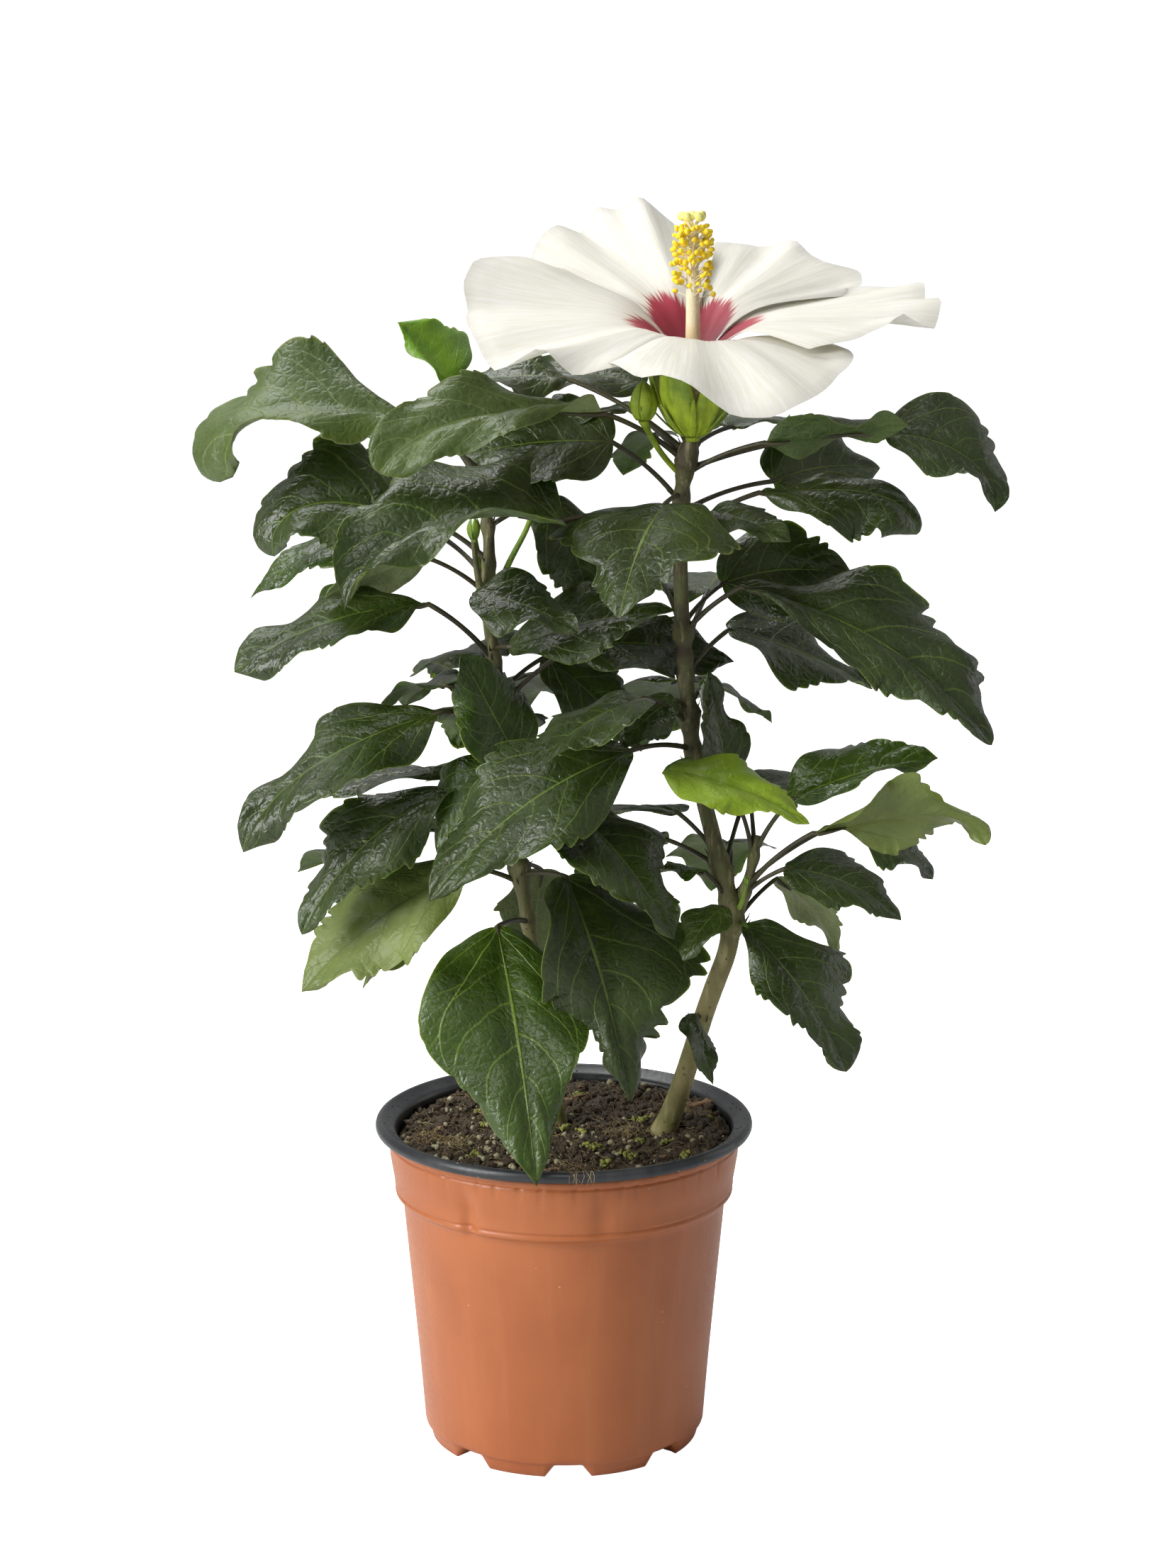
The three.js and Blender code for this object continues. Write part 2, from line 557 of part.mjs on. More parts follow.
function potBody() {
  const outline = [[0, 0], ...potProfile(0)];
  const inside = [
    [0, pot.floor], [pot.footRadius - pot.wall - 0.5, pot.floor], ...potProfile(pot.wall).slice(1),
    [pot.collarTop - pot.wall, pot.height + 1], [0, pot.height + 1],
  ];
  const hollow = turned(inside, pot.segments).subtract(channelCutter(pot.floor));
  const block = turned([...outline, [0, pot.height]], pot.segments);
  let body = block.subtract(hollow).subtract(channelCutter(0));
  for (let i = 0; i < channels.count; i += 1) {
    const turn = THREE.MathUtils.degToRad(channels.firstTurn + (360 / channels.count) * i);
    const hole = new THREE.CylinderGeometry(drain.radius, drain.radius, 8, drain.sides);
    hole.rotateX(Math.PI / 2);
    hole.translate(drain.distance * Math.cos(turn), drain.distance * Math.sin(turn), channels.height);
    body = body.subtract(solid(hole));
  }
  return body;
}

function rimBody() {
  const { outer, inner, bottom, top, skirtBottom, skirtWall } = rim;
  const skirt = inner - 0.4;
  const profile = [
    [skirt - skirtWall, skirtBottom], [skirt, skirtBottom], [skirt, bottom], [outer - 0.6, bottom],
    [outer, bottom + 1], [outer - 0.1, top - 1.3], [outer - 1.4, top], [inner + 1.6, top],
    [skirt - skirtWall, top - 1.6],
    [skirt - skirtWall, skirtBottom],
  ];
  return turned(profile, pot.segments);
}

function soilBody() {
  const wall = pot.wall + gap;
  const profile = potProfile(wall);
  const collar = rim.inner - 0.4 - rim.skirtWall - gap;
  const outline = [
    [0, pot.floor + gap], [pot.footRadius - wall - 0.5, pot.floor + gap], ...profile.slice(1, 5),
    [profile[4][0] + 0.6, rim.skirtBottom - 2], [collar, rim.skirtBottom - gap],
    [collar, soil.top - soil.edgeDrop], [collar - soil.edgeWidth, soil.top], [0, soil.top],
  ];
  return turned(outline, pot.segments).subtract(channelCutter(pot.floor + gap));
}

// ---- The plant ---------------------------------------------------------------------------------------

const finish = {
  terracotta: { color: 0xb9683f, roughness: 0.45 }, rim: { color: 0x2e3134, roughness: 0.4 },
  soil: { color: 0x2a2019, roughness: 1 }, bark: { color: 0x6d6a45, roughness: 0.8 },
  leaf: { color: 0x24401f, roughness: 0.35 }, petal: { color: 0xf3efe4, roughness: 0.6 },
  column: { color: 0xf2cf3a, roughness: 0.6 }, calyx: { color: 0x8fa83a, roughness: 0.6 },
};

const group = new THREE.Group();

function addNode(name, body, finishName) {
  const material = new THREE.MeshStandardMaterial({ ...finish[finishName], metalness: 0 });
  const mesh = new THREE.Mesh(geometryOf(body), material);
  mesh.name = name;
  group.add(mesh);
}

addNode('pot_body', potBody(), 'terracotta');
addNode('pot_rim', rimBody(), 'rim');
addNode('soil', soilBody(), 'soil');

// Bare stretches of the two stems run from the soil to the first mass, and from one mass to the next.
const bareStems = {
  stem_right: ['right', soil.top + gap, 'leaves_right_fork'],
  stem_left: ['left', soil.top + gap, 'leaves_left_low'],
  bough_right_low: ['right', 'leaves_right_fork', 'leaves_right_waist'],
  bough_right_high: ['right', 'leaves_right_middle', 'leaves_right_crown'],
  bough_left_low: ['left', 'leaves_left_low', 'leaves_left_waist'],
};
for (const [name, [stem, below, above]] of Object.entries(bareStems)) {
  const from = typeof below === 'string' ? masses[below].to + gap : below;
  const pieces = [stemPiece(stem, from, masses[above].from - gap)];
  for (const row of sprigs[name] ?? []) {
    const { leaf, root, base, spine } = grownLeaf(row, { stem }, 0);
    pieces.push(limb(stalkJoints(leaf, root, base, spine), stalk.sides, false), blade(leaf, spine));
  }
  addNode(name, join(pieces), 'bark');
}
for (const name of Object.keys(masses)) addNode(name, foliage(name), 'leaf');

addNode('bloom_calyx', calyxBody(), 'calyx');
addNode('bloom_petals', petals(), 'petal');
addNode('bloom_column', columnBody(), 'column');

export default group;
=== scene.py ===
# A potted hibiscus with one open bloom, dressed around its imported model. +Z is up and -Y the plant's front.
# Shapes are worked out in millimetres and brought to metres when a piece is finished.

import math
import random

import bmesh
import bpy
import numpy as np
from mathutils import Matrix, Vector, noise


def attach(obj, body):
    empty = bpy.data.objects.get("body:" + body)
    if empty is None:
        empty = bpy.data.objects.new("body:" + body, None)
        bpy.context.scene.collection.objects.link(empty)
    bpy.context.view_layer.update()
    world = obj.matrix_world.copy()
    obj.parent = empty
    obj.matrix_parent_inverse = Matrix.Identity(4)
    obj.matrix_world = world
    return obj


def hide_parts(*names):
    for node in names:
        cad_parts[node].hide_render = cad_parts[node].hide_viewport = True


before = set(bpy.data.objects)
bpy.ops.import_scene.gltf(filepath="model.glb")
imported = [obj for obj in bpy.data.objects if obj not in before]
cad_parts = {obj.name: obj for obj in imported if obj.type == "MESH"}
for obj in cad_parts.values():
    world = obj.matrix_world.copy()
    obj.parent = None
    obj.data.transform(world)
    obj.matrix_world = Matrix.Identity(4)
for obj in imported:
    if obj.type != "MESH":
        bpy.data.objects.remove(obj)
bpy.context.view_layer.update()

mm = 0.001
scene = bpy.context.scene

# camera, light and floor

shot = {"place": (0.0083, -1.268, 0.508), "tilt": 77.69, "lens": 87.9}
studio = {
    "floorSize": 8.0, "floorTone": (0.93, 0.93, 0.93), "floorRough": 0.9,
    "backdrop": 1.05, "fill": 0.12, "wallGloss": 0.42,
    "lamps": [  # name, place, what it points at, size, watts
        ("keyLeft", (-1.35, -0.85, 0.95), (0, 0, 0.2), (0.8, 1.3), 33),
        ("topBack", (-0.35, 0.55, 1.4), (0, 0, 0.30), (1.1, 0.6), 12),
        ("frontHigh", (-0.2, -1.2, 1.8), (0, 0, 0.25), (0.7, 0.5), 5.5),
        ("rightStrip", (1.2, 0.45, 0.5), (0, 0, 0.2), (0.2, 1.0), 1.2),
    ],
}


def makeCamera():
    camera = bpy.data.objects.new("camera", bpy.data.cameras.new("camera"))
    camera.location = shot["place"]
    camera.rotation_euler = (math.radians(shot["tilt"]), 0, 0)
    camera.data.lens = shot["lens"]
    scene.collection.objects.link(camera)
    scene.camera = camera
    scene.view_settings.view_transform = "Standard"


def makeLamps():
    for name, place, aim, size, watts in studio["lamps"]:
        lamp = bpy.data.lights.new(name, "AREA")
        lamp.shape = "RECTANGLE"
        lamp.size, lamp.size_y = size
        lamp.energy = watts
        lampObject = bpy.data.objects.new(name, lamp)
        lampObject.location = place
        lampObject.rotation_euler = (Vector(aim) - Vector(place)).to_track_quat("-Z", "Y").to_euler()
        scene.collection.objects.link(lampObject)


def makeWalls():  # white behind the plant, darker where they light it and between the two in its gloss
    world = bpy.data.worlds.new("studioWorld")
    world.use_nodes = True
    scene.world = world
    tree = world.node_tree
    ray = tree.nodes.new("ShaderNodeLightPath")
    gloss = tree.nodes.new("ShaderNodeMapRange")
    gloss.inputs["To Min"].default_value = studio["fill"]
    gloss.inputs["To Max"].default_value = studio["wallGloss"]
    tree.links.new(ray.outputs["Is Glossy Ray"], gloss.inputs["Value"])
    strength = tree.nodes.new("ShaderNodeMapRange")
    strength.inputs["To Max"].default_value = studio["backdrop"]
    tree.links.new(gloss.outputs["Result"], strength.inputs["To Min"])
    tree.links.new(ray.outputs["Is Camera Ray"], strength.inputs["Value"])
    backdrop = tree.nodes["Background"]
    backdrop.inputs["Color"].default_value = (1, 1, 1, 1)
    tree.links.new(strength.outputs["Result"], backdrop.inputs["Strength"])


def makeFloor():
    bm = bmesh.new()
    bmesh.ops.create_grid(bm, x_segments=8, y_segments=8, size=studio["floorSize"] / 2)
    mesh = bpy.data.meshes.new("floor")
    bm.to_mesh(mesh)
    bm.free()
    paper = bpy.data.materials.new("paper")
    paper.use_nodes = True
    tree = paper.node_tree
    shader = tree.nodes["Principled BSDF"]
    shader.inputs["Base Color"].default_value = (*studio["floorTone"], 1)
    shader.inputs["Roughness"].default_value = studio["floorRough"]
    shader.inputs["Emission Color"].default_value = (1, 1, 1, 1)
    seen = tree.nodes.new("ShaderNodeLightPath").outputs["Is Camera Ray"]
    tree.links.new(seen, shader.inputs["Emission Strength"])
    mesh.materials.append(paper)
    floor = bpy.data.objects.new("floor", mesh)
    scene.collection.objects.link(floor)


makeCamera()
makeLamps()
makeWalls()
makeFloor()
print("studio ready")

# node helpers


def tone(red, green, blue):  # a colour named by its 0-255 screen values
    linear = [((c / 255 + 0.055) / 1.055) ** 2.4 if c > 10 else c / 255 / 12.92 for c in (red, green, blue)]
    return (*linear, 1.0)


def feed(tree, node, inputs):  # an input is a plain value or another node's socket
    for key, value in inputs.items():
        if isinstance(value, bpy.types.NodeSocket):
            tree.links.new(value, node.inputs[key])
        else:
            node.inputs[key].default_value = value


def put(tree, kind, inputs=None, **settings):
    node = tree.nodes.new("ShaderNode" + kind)
    for key, value in settings.items():
        setattr(node, key, value)
    feed(tree, node, inputs or {})
    return node


def calc(tree, operation, *values):
    return put(tree, "Math", dict(enumerate(values)), operation=operation).outputs[0]


def ramp(tree, value, low, high, start=0.0, end=1.0):  # a smooth step from start at low to end at high
    inputs = {"Value": value, "From Min": low, "From Max": high, "To Min": start, "To Max": end}
    return put(tree, "MapRange", inputs, interpolation_type="SMOOTHSTEP").outputs["Result"]


def blendTones(tree, factor, first, second):  # the Mix node's colour sockets go by number
    return put(tree, "Mix", {0: factor, 6: first, 7: second}, data_type="RGBA").outputs[2]


def grainOf(tree, place, scale, detail=4.0, roughness=0.55, stretch=None):
    if stretch:
        place = put(tree, "Mapping", {"Vector": place, "Scale": stretch}).outputs["Vector"]
    inputs = {"Vector": place, "Scale": scale, "Detail": detail, "Roughness": roughness}
    return put(tree, "TexNoise", inputs).outputs["Fac"]


def newGroup(name, inputs, outputs):
    tree = bpy.data.node_groups.new(name, "ShaderNodeTree")
    for socket, kind, value in inputs:
        made = tree.interface.new_socket(socket, in_out="INPUT", socket_type="NodeSocket" + kind)
        if value is not None:
            made.default_value = value
    for socket in outputs:
        tree.interface.new_socket(socket, in_out="OUTPUT", socket_type="NodeSocketFloat")
    return tree, tree.nodes.new("NodeGroupInput"), tree.nodes.new("NodeGroupOutput")


def useGroup(tree, group, inputs):
    return put(tree, "Group", inputs, node_tree=group)


def newFinish(name, **fixed):  # a material with its plain shader values set
    material = bpy.data.materials.new(name)
    material.use_nodes = True
    shader = material.node_tree.nodes["Principled BSDF"]
    for key, value in fixed.items():
        shader.inputs[key].default_value = value
    return material, material.node_tree, shader


def intoShader(tree, shader, body, rough, height, strength, depth):
    bump = put(tree, "Bump", {"Height": height, "Strength": strength, "Distance": depth * mm})
    feed(tree, shader, {"Base Color": body, "Roughness": rough, "Normal": bump.outputs["Normal"]})


def objectPlace(tree):
    return put(tree, "TexCoord").outputs["Object"]


def tones(look):  # a look with its colours ready for the sockets
    return {key: tone(*value) if isinstance(value, tuple) else value for key, value in look.items()}


# shared effects


def makeLeafVeins():
    # main veins and the fine net between them, on a leaf's own map: x across from 0 to 1, y along from 0 to 1
    tree, source, result = newGroup(
        "leafVeins", [("Leaf", "Vector", None), ("Place", "Vector", None), ("Cells", "Float", 420.0)],
        ["Veins", "Net", "Pillow"])
    parts = put(tree, "SeparateXYZ", {"Vector": source.outputs["Leaf"]})
    across = calc(tree, "MULTIPLY_ADD", parts.outputs["X"], 2.0, -1.0)
    along = parts.outputs["Y"]
    out = calc(tree, "ABSOLUTE", across)
    side = calc(tree, "GREATER_THAN", across, 0.0)
    wander = grainOf(tree, source.outputs["Place"], 70.0, 2.0)
    along = calc(tree, "MULTIPLY_ADD", calc(tree, "SUBTRACT", wander, 0.5), 0.06, along)

    def offCurve(reach, power):  # how far past a basal vein a place lies, along the leaf
        return calc(tree, "SUBTRACT", along, calc(tree, "MULTIPLY", calc(tree, "POWER", out, power), reach))

    inner = offCurve(*veinPlan["inner"])
    outer = offCurve(*veinPlan["outer"])
    lateral = calc(tree, "MULTIPLY", offCurve(*veinPlan["swept"]), veinPlan["laterals"])
    lateral = calc(tree, "MULTIPLY_ADD", side, veinPlan["offset"], lateral)
    lower = calc(tree, "MULTIPLY", offCurve(*veinPlan["low"]), veinPlan["lowers"])
    upper = calc(tree, "GREATER_THAN", inner, 0.0)
    phase = put(tree, "Mix", {0: upper, 2: lower, 3: lateral}).outputs[0]
    offLine = calc(tree, "PINGPONG", phase, 0.5)
    lines = ramp(tree, offLine, 0.008, 0.05, 1.0, 0.0)
    lines = calc(tree, "MULTIPLY", lines, ramp(tree, along, 0.2, 0.3, 0.4, 1.0))
    innerLine = ramp(tree, calc(tree, "ABSOLUTE", inner), 0.003, 0.012, 1.0, 0.0)
    outerLine = ramp(tree, calc(tree, "ABSOLUTE", outer), 0.003, 0.010, 0.7, 0.0)
    veins = calc(tree, "MAXIMUM", innerLine, outerLine)
    veins = calc(tree, "MAXIMUM", calc(tree, "MULTIPLY", lines, 0.55), veins)
    veins = calc(tree, "MULTIPLY", veins, ramp(tree, out, 0.6, 1.0, 0.85, 0.15))
    veins = calc(tree, "MAXIMUM", veins, ramp(tree, out, 0.006, 0.026, 1.0, 0.0))
    veins = calc(tree, "MAXIMUM", veins, ramp(tree, out, 0.972, 0.995, 0.0, 0.7))
    stray = put(tree, "TexNoise", {"Vector": source.outputs["Place"], "Scale": 240.0, "Detail": 2.0})
    bend = {0: stray.outputs["Color"], 1: (3 * mm, 3 * mm, 3 * mm), 2: source.outputs["Place"]}
    bent = put(tree, "VectorMath", bend, operation="MULTIPLY_ADD").outputs["Vector"]

    def cellEdges(scale):
        cells = put(tree, "TexVoronoi", {"Vector": bent, "Scale": scale}, feature="DISTANCE_TO_EDGE")
        return cells.outputs["Distance"]

    cells = cellEdges(source.outputs["Cells"])
    fineCells = cellEdges(calc(tree, "MULTIPLY", source.outputs["Cells"], 2.3))
    broad = grainOf(tree, source.outputs["Place"], 120.0, 2.0)
    pillow = calc(tree, "MULTIPLY_ADD", ramp(tree, fineCells, 0.0, 0.3), 0.3, ramp(tree, cells, 0.0, 0.28))
    pillow = calc(tree, "MULTIPLY_ADD", broad, 1.6, pillow)
    feed(tree, result, {"Veins": veins, "Net": ramp(tree, cells, 0.0, 0.09, 1.0, 0.0), "Pillow": pillow})
    return tree


def makeMottle():
    # soft patches and fine specks that break up any plain surface
    tree, source, result = newGroup(
        "mottle", [("Place", "Vector", None), ("Patch", "Float", 40.0), ("Speck", "Float", 900.0)],
        ["Patches", "Specks"])
    patches = grainOf(tree, source.outputs["Place"], source.outputs["Patch"], 5.0)
    specks = grainOf(tree, source.outputs["Place"], source.outputs["Speck"], 2.0)
    feed(tree, result, {"Patches": ramp(tree, patches, 0.3, 0.7), "Specks": ramp(tree, specks, 0.35, 0.65)})
    return tree


veinPlan = {  # basal veins and lateral sweeps are (reach along the leaf, power of the way across)
    "inner": (0.66, 1.6), "outer": (0.32, 2.2), "swept": (0.30, 1.3), "low": (0.25, 1.0),
    "laterals": 6.2, "lowers": 8.0, "offset": 0.3,
}
leafVeins = makeLeafVeins()
mottle = makeMottle()


def marksOf(tree, place, patch, speck):
    marks = useGroup(tree, mottle, {"Place": place, "Patch": patch, "Speck": speck})
    return marks.outputs["Patches"], marks.outputs["Specks"]


# finishes


def leafFinish(name, look):
    look = tones(look)
    material, tree, shader = newFinish(name, **{
        "Subsurface Weight": look["glow"], "Subsurface Radius": (0.7, 1.0, 0.12),
        "Subsurface Scale": 1.6 * mm})
    place = objectPlace(tree)
    leafMap = put(tree, "UVMap", uv_map="blade").outputs["UV"]
    group = useGroup(tree, leafVeins, {"Leaf": leafMap, "Place": place, "Cells": 300.0})
    veins, net, pillow = [group.outputs[name] for name in ("Veins", "Net", "Pillow")]
    patches, specks = marksOf(tree, place, 34.0, 1500.0)
    body = blendTones(tree, patches, look["deep"], look["light"])
    body = blendTones(tree, calc(tree, "MULTIPLY", net, look["netShow"]), body, look["vein"])
    body = blendTones(tree, calc(tree, "MULTIPLY", veins, look["veinShow"]), body, look["vein"])
    rough = calc(tree, "MULTIPLY_ADD", patches, look["rough"] * 0.35, look["rough"] * 0.8)
    rough = calc(tree, "MULTIPLY_ADD", veins, 0.1, rough)
    height = calc(tree, "MULTIPLY_ADD", pillow, 0.34 * look["relief"], 0.5)
    height = calc(tree, "MULTIPLY_ADD", veins, -0.5 * look["relief"], height)
    height = calc(tree, "MULTIPLY_ADD", specks, 0.03, height)
    intoShader(tree, shader, body, rough, height, 0.8, 0.45)
    return material


def stalkFinish(name, dark, light):
    material, tree, shader = newFinish(name)
    patches, specks = marksOf(tree, objectPlace(tree), 60.0, 1400.0)
    body = blendTones(tree, patches, tone(*dark), tone(*light))
    intoShader(tree, shader, body, calc(tree, "MULTIPLY_ADD", specks, 0.2, 0.35), specks, 0.25, 0.2)
    return material


def barkFinish():
    material, tree, shader = newFinish("bark")
    look = tones(barkLook)
    place = objectPlace(tree)
    height = put(tree, "SeparateXYZ", {"Vector": place}).outputs["Z"]
    fibres = grainOf(tree, place, 420.0, 4.0, 0.6, stretch=(1, 1, 0.16))
    patches, specks = marksOf(tree, place, 95.0, 1100.0)
    old = blendTones(tree, patches, look["moss"], look["tan"])
    young = blendTones(tree, patches, look["purple"], look["green"])
    wander = calc(tree, "MULTIPLY_ADD", patches, 0.03, height)
    body = blendTones(tree, ramp(tree, wander, look["oldTop"], look["youngFrom"]), old, young)
    body = blendTones(tree, ramp(tree, fibres, 0.5, 0.75, 0.0, 0.5), body, look["pale"])
    pores = put(tree, "TexVoronoi", {"Vector": place, "Scale": 330.0}).outputs["Distance"]
    body = blendTones(tree, ramp(tree, pores, 0.1, 0.22, 0.75, 0.0), body, look["pore"])
    rough = calc(tree, "MULTIPLY_ADD", fibres, 0.3, 0.5)
    intoShader(tree, shader, body, rough, calc(tree, "MULTIPLY_ADD", specks, 0.3, fibres), 0.4, 0.4)
    return material


barkLook = {
    "tan": (166, 152, 104), "moss": (118, 122, 66), "pale": (196, 186, 142), "pore": (84, 74, 50),
    "purple": (70, 60, 46), "green": (98, 100, 58), "oldTop": 0.17, "youngFrom": 0.225,
}


def plasticFinish(name, look):
    material, tree, shader = newFinish(name)
    look = tones(look)
    place = objectPlace(tree)
    patches, specks = marksOf(tree, place, look["patch"], 700.0)
    streaks = grainOf(tree, place, 90.0, 5.0, 0.6, stretch=(1, 1, 0.05))
    body = blendTones(tree, patches, look["deep"], look["light"])
    body = blendTones(tree, ramp(tree, streaks, 0.45, 0.75, 0.0, look["streak"]), body, look["worn"])
    dots = put(tree, "TexVoronoi", {"Vector": place, "Scale": 110.0}).outputs["Distance"]
    body = blendTones(tree, ramp(tree, dots, 0.03, 0.055, look["dots"], 0.0), body, look["dust"])
    rough = calc(tree, "MULTIPLY_ADD", specks, 0.08, look["rough"])
    rough = calc(tree, "MULTIPLY_ADD", streaks, 0.1, rough)
    intoShader(tree, shader, body, rough, calc(tree, "MULTIPLY_ADD", specks, 0.2, streaks), 0.12, 0.3)
    return material


def earthFinish(name, look):
    material, tree, shader = newFinish(name)
    look = tones(look)
    patches, specks = marksOf(tree, objectPlace(tree), look["patch"], look["speck"])
    body = blendTones(tree, patches, look["deep"], look["light"])
    body = blendTones(tree, calc(tree, "MULTIPLY", specks, 0.5), body, look["spot"])
    rough = calc(tree, "MULTIPLY_ADD", patches, 0.2, look["rough"])
    intoShader(tree, shader, body, rough, specks, 0.8, 0.5)
    return material


def petalFinish():
    material, tree, shader = newFinish("petalCream", **{
        "Subsurface Weight": 0.35, "Subsurface Radius": (0.004, 0.004, 0.003), "Subsurface Scale": 1.0})
    look = tones(petalLook)
    leafMap = put(tree, "UVMap", uv_map="blade").outputs["UV"]
    parts = put(tree, "SeparateXYZ", {"Vector": leafMap})
    along = parts.outputs["Y"]
    rays = grainOf(tree, leafMap, 42.0, 3.0, 0.6, stretch=petalLook["fan"])
    veins = grainOf(tree, leafMap, 90.0, 4.0, 0.6, stretch=petalLook["fan"])
    off = calc(tree, "ABSOLUTE", calc(tree, "SUBTRACT", parts.outputs["X"], 0.5))
    edgeOfRed = calc(tree, "MULTIPLY_ADD", rays, look["rayLength"], look["redEnd"] - look["rayLength"] * 0.5)
    edgeOfRed = calc(tree, "MULTIPLY_ADD", calc(tree, "MULTIPLY", off, off), -0.7, edgeOfRed)
    redness = ramp(tree, calc(tree, "SUBTRACT", along, edgeOfRed), -0.03, 0.014, 1.0, 0.0)
    body = blendTones(tree, ramp(tree, veins, 0.35, 0.7), look["cream"], look["white"])
    body = blendTones(tree, ramp(tree, along, 0.15, 0.42, 0.25, 0.0), body, look["blush"])
    red = blendTones(tree, ramp(tree, along, 0.05, look["redEnd"] + 0.05), look["wine"], look["rose"])
    body = blendTones(tree, redness, body, red)
    rough = calc(tree, "MULTIPLY_ADD", rays, 0.2, 0.45)
    intoShader(tree, shader, body, rough, calc(tree, "MULTIPLY_ADD", veins, 0.6, rays), 0.2, 0.4)
    return material


petalLook = {
    "cream": (222, 218, 200), "white": (234, 231, 220), "blush": (226, 212, 198), "wine": (112, 14, 32),
    "rose": (170, 36, 60), "redEnd": 0.31, "rayLength": 0.2, "fan": [1.0, 0.045, 1.0],
}


def softFinish(name, look):  # column, anthers, stigmas and other small juicy parts
    material, tree, shader = newFinish(name, **{
        "Subsurface Weight": 0.3, "Subsurface Radius": (1.0, 0.9, 0.3), "Subsurface Scale": 1.5 * mm})
    look = tones(look)
    place = objectPlace(tree)
    patches, specks = marksOf(tree, place, look["patch"], 2200.0)
    body = blendTones(tree, patches, look["deep"], look["light"])
    streaks = grainOf(tree, place, 520.0, 3.0, 0.6, stretch=(1, 1, 0.1))
    body = blendTones(tree, ramp(tree, streaks, 0.5, 0.68, 0.0, look.get("streak", 0)), body, look["deep"])
    rough = calc(tree, "MULTIPLY_ADD", patches, 0.15, look["rough"])
    intoShader(tree, shader, body, rough, specks, 0.4, 0.25)
    return material


leafLooks = {  # top and underside of each kind of leaf
    "dark": {"deep": (36, 48, 12), "light": (51, 66, 20), "vein": (118, 142, 56),
             "rough": 0.34, "veinShow": 0.62, "netShow": 0.05, "relief": 1.0, "glow": 0.12},
    "green": {"deep": (42, 62, 10), "light": (60, 82, 20), "vein": (140, 166, 62),
              "rough": 0.3, "veinShow": 0.65, "netShow": 0.05, "relief": 1.0, "glow": 0.15},
    "olive": {"deep": (58, 74, 26), "light": (78, 96, 40), "vein": (136, 150, 86),
              "rough": 0.42, "veinShow": 0.5, "netShow": 0.07, "relief": 0.8, "glow": 0.15},
    "bright": {"deep": (84, 126, 10), "light": (116, 156, 24), "vein": (160, 190, 70),
               "rough": 0.42, "veinShow": 0.45, "netShow": 0.1, "relief": 0.6, "glow": 0.3},
    "lime": {"deep": (124, 150, 22), "light": (158, 184, 52), "vein": (112, 140, 30),
             "rough": 0.42, "veinShow": 0.6, "netShow": 0.3, "relief": 0.6, "glow": 0.2},
    "pale": {"deep": (94, 108, 46), "light": (118, 132, 66), "vein": (78, 94, 40),
             "rough": 0.46, "veinShow": 0.5, "netShow": 0.15, "relief": 0.7, "glow": 0.12},
    "dull": {"deep": (62, 80, 38), "light": (88, 106, 56), "vein": (122, 138, 80),
             "rough": 0.6, "veinShow": 0.5, "netShow": 0.25, "relief": -0.8, "glow": 0.2},
    "palest": {"deep": (104, 116, 74), "light": (130, 142, 96), "vein": (158, 168, 120),
               "rough": 0.6, "veinShow": 0.6, "netShow": 0.25, "relief": -0.7, "glow": 0.12},
    "limeUnder": {"deep": (120, 160, 40), "light": (150, 184, 66), "vein": (186, 208, 110),
                  "rough": 0.5, "veinShow": 0.4, "netShow": 0.2, "relief": -0.6, "glow": 0.3},
}
underside = {
    "dark": "dull", "green": "dull", "olive": "palest", "pale": "palest",
    "bright": "limeUnder", "lime": "limeUnder",
}
leafOrder = list(leafLooks)
leafMaterials = [leafFinish("leaf_" + name, look) for name, look in leafLooks.items()]
stalkMaterials = [
    stalkFinish("stalkBrown", (52, 46, 30), (74, 72, 42)),
    stalkFinish("stalkGreen", (84, 112, 40), (120, 146, 62)),
]
bark = barkFinish()
terracotta = plasticFinish("terracottaPlastic", {
    "deep": (168, 94, 50), "light": (180, 104, 57), "worn": (198, 128, 80), "dust": (220, 176, 138),
    "streak": 0.28, "dots": 0.5, "rough": 0.3, "patch": 22.0})
blackPlastic = plasticFinish("blackPlastic", {
    "deep": (30, 33, 36), "light": (44, 47, 50), "worn": (84, 86, 86), "dust": (150, 138, 116),
    "streak": 0.35, "dots": 0.8, "rough": 0.27, "patch": 60.0})
peat = earthFinish("peat", {
    "deep": (18, 13, 9), "light": (58, 45, 29), "spot": (134, 112, 80), "rough": 0.6,
    "patch": 190.0, "speck": 1500.0})
perliteWhite = earthFinish("perliteWhite", {
    "deep": (190, 180, 140), "light": (224, 218, 190), "spot": (168, 160, 110), "rough": 0.7,
    "patch": 400.0, "speck": 2400.0})
mossGreen = earthFinish("mossGreen", {
    "deep": (110, 116, 34), "light": (176, 180, 84), "spot": (206, 206, 130), "rough": 0.8,
    "patch": 300.0, "speck": 2000.0})
chipWood = earthFinish("chipWood", {
    "deep": (110, 74, 46), "light": (162, 122, 86), "spot": (200, 174, 140), "rough": 0.7,
    "patch": 260.0, "speck": 1500.0})
rootFibre = earthFinish("rootFibre", {
    "deep": (130, 100, 62), "light": (184, 160, 110), "spot": (206, 190, 150), "rough": 0.7,
    "patch": 300.0, "speck": 1800.0})
petalCream = petalFinish()
columnCream = softFinish("columnCream", {
    "deep": (240, 226, 176), "light": (250, 242, 212), "rough": 0.42, "patch": 90.0})
antherYellow = softFinish("antherYellow", {
    "deep": (254, 204, 8), "light": (255, 238, 74), "rough": 0.7, "patch": 700.0})
stigmaYellow = softFinish("stigmaYellow", {
    "deep": (248, 236, 120), "light": (254, 248, 170), "rough": 0.6, "patch": 700.0})
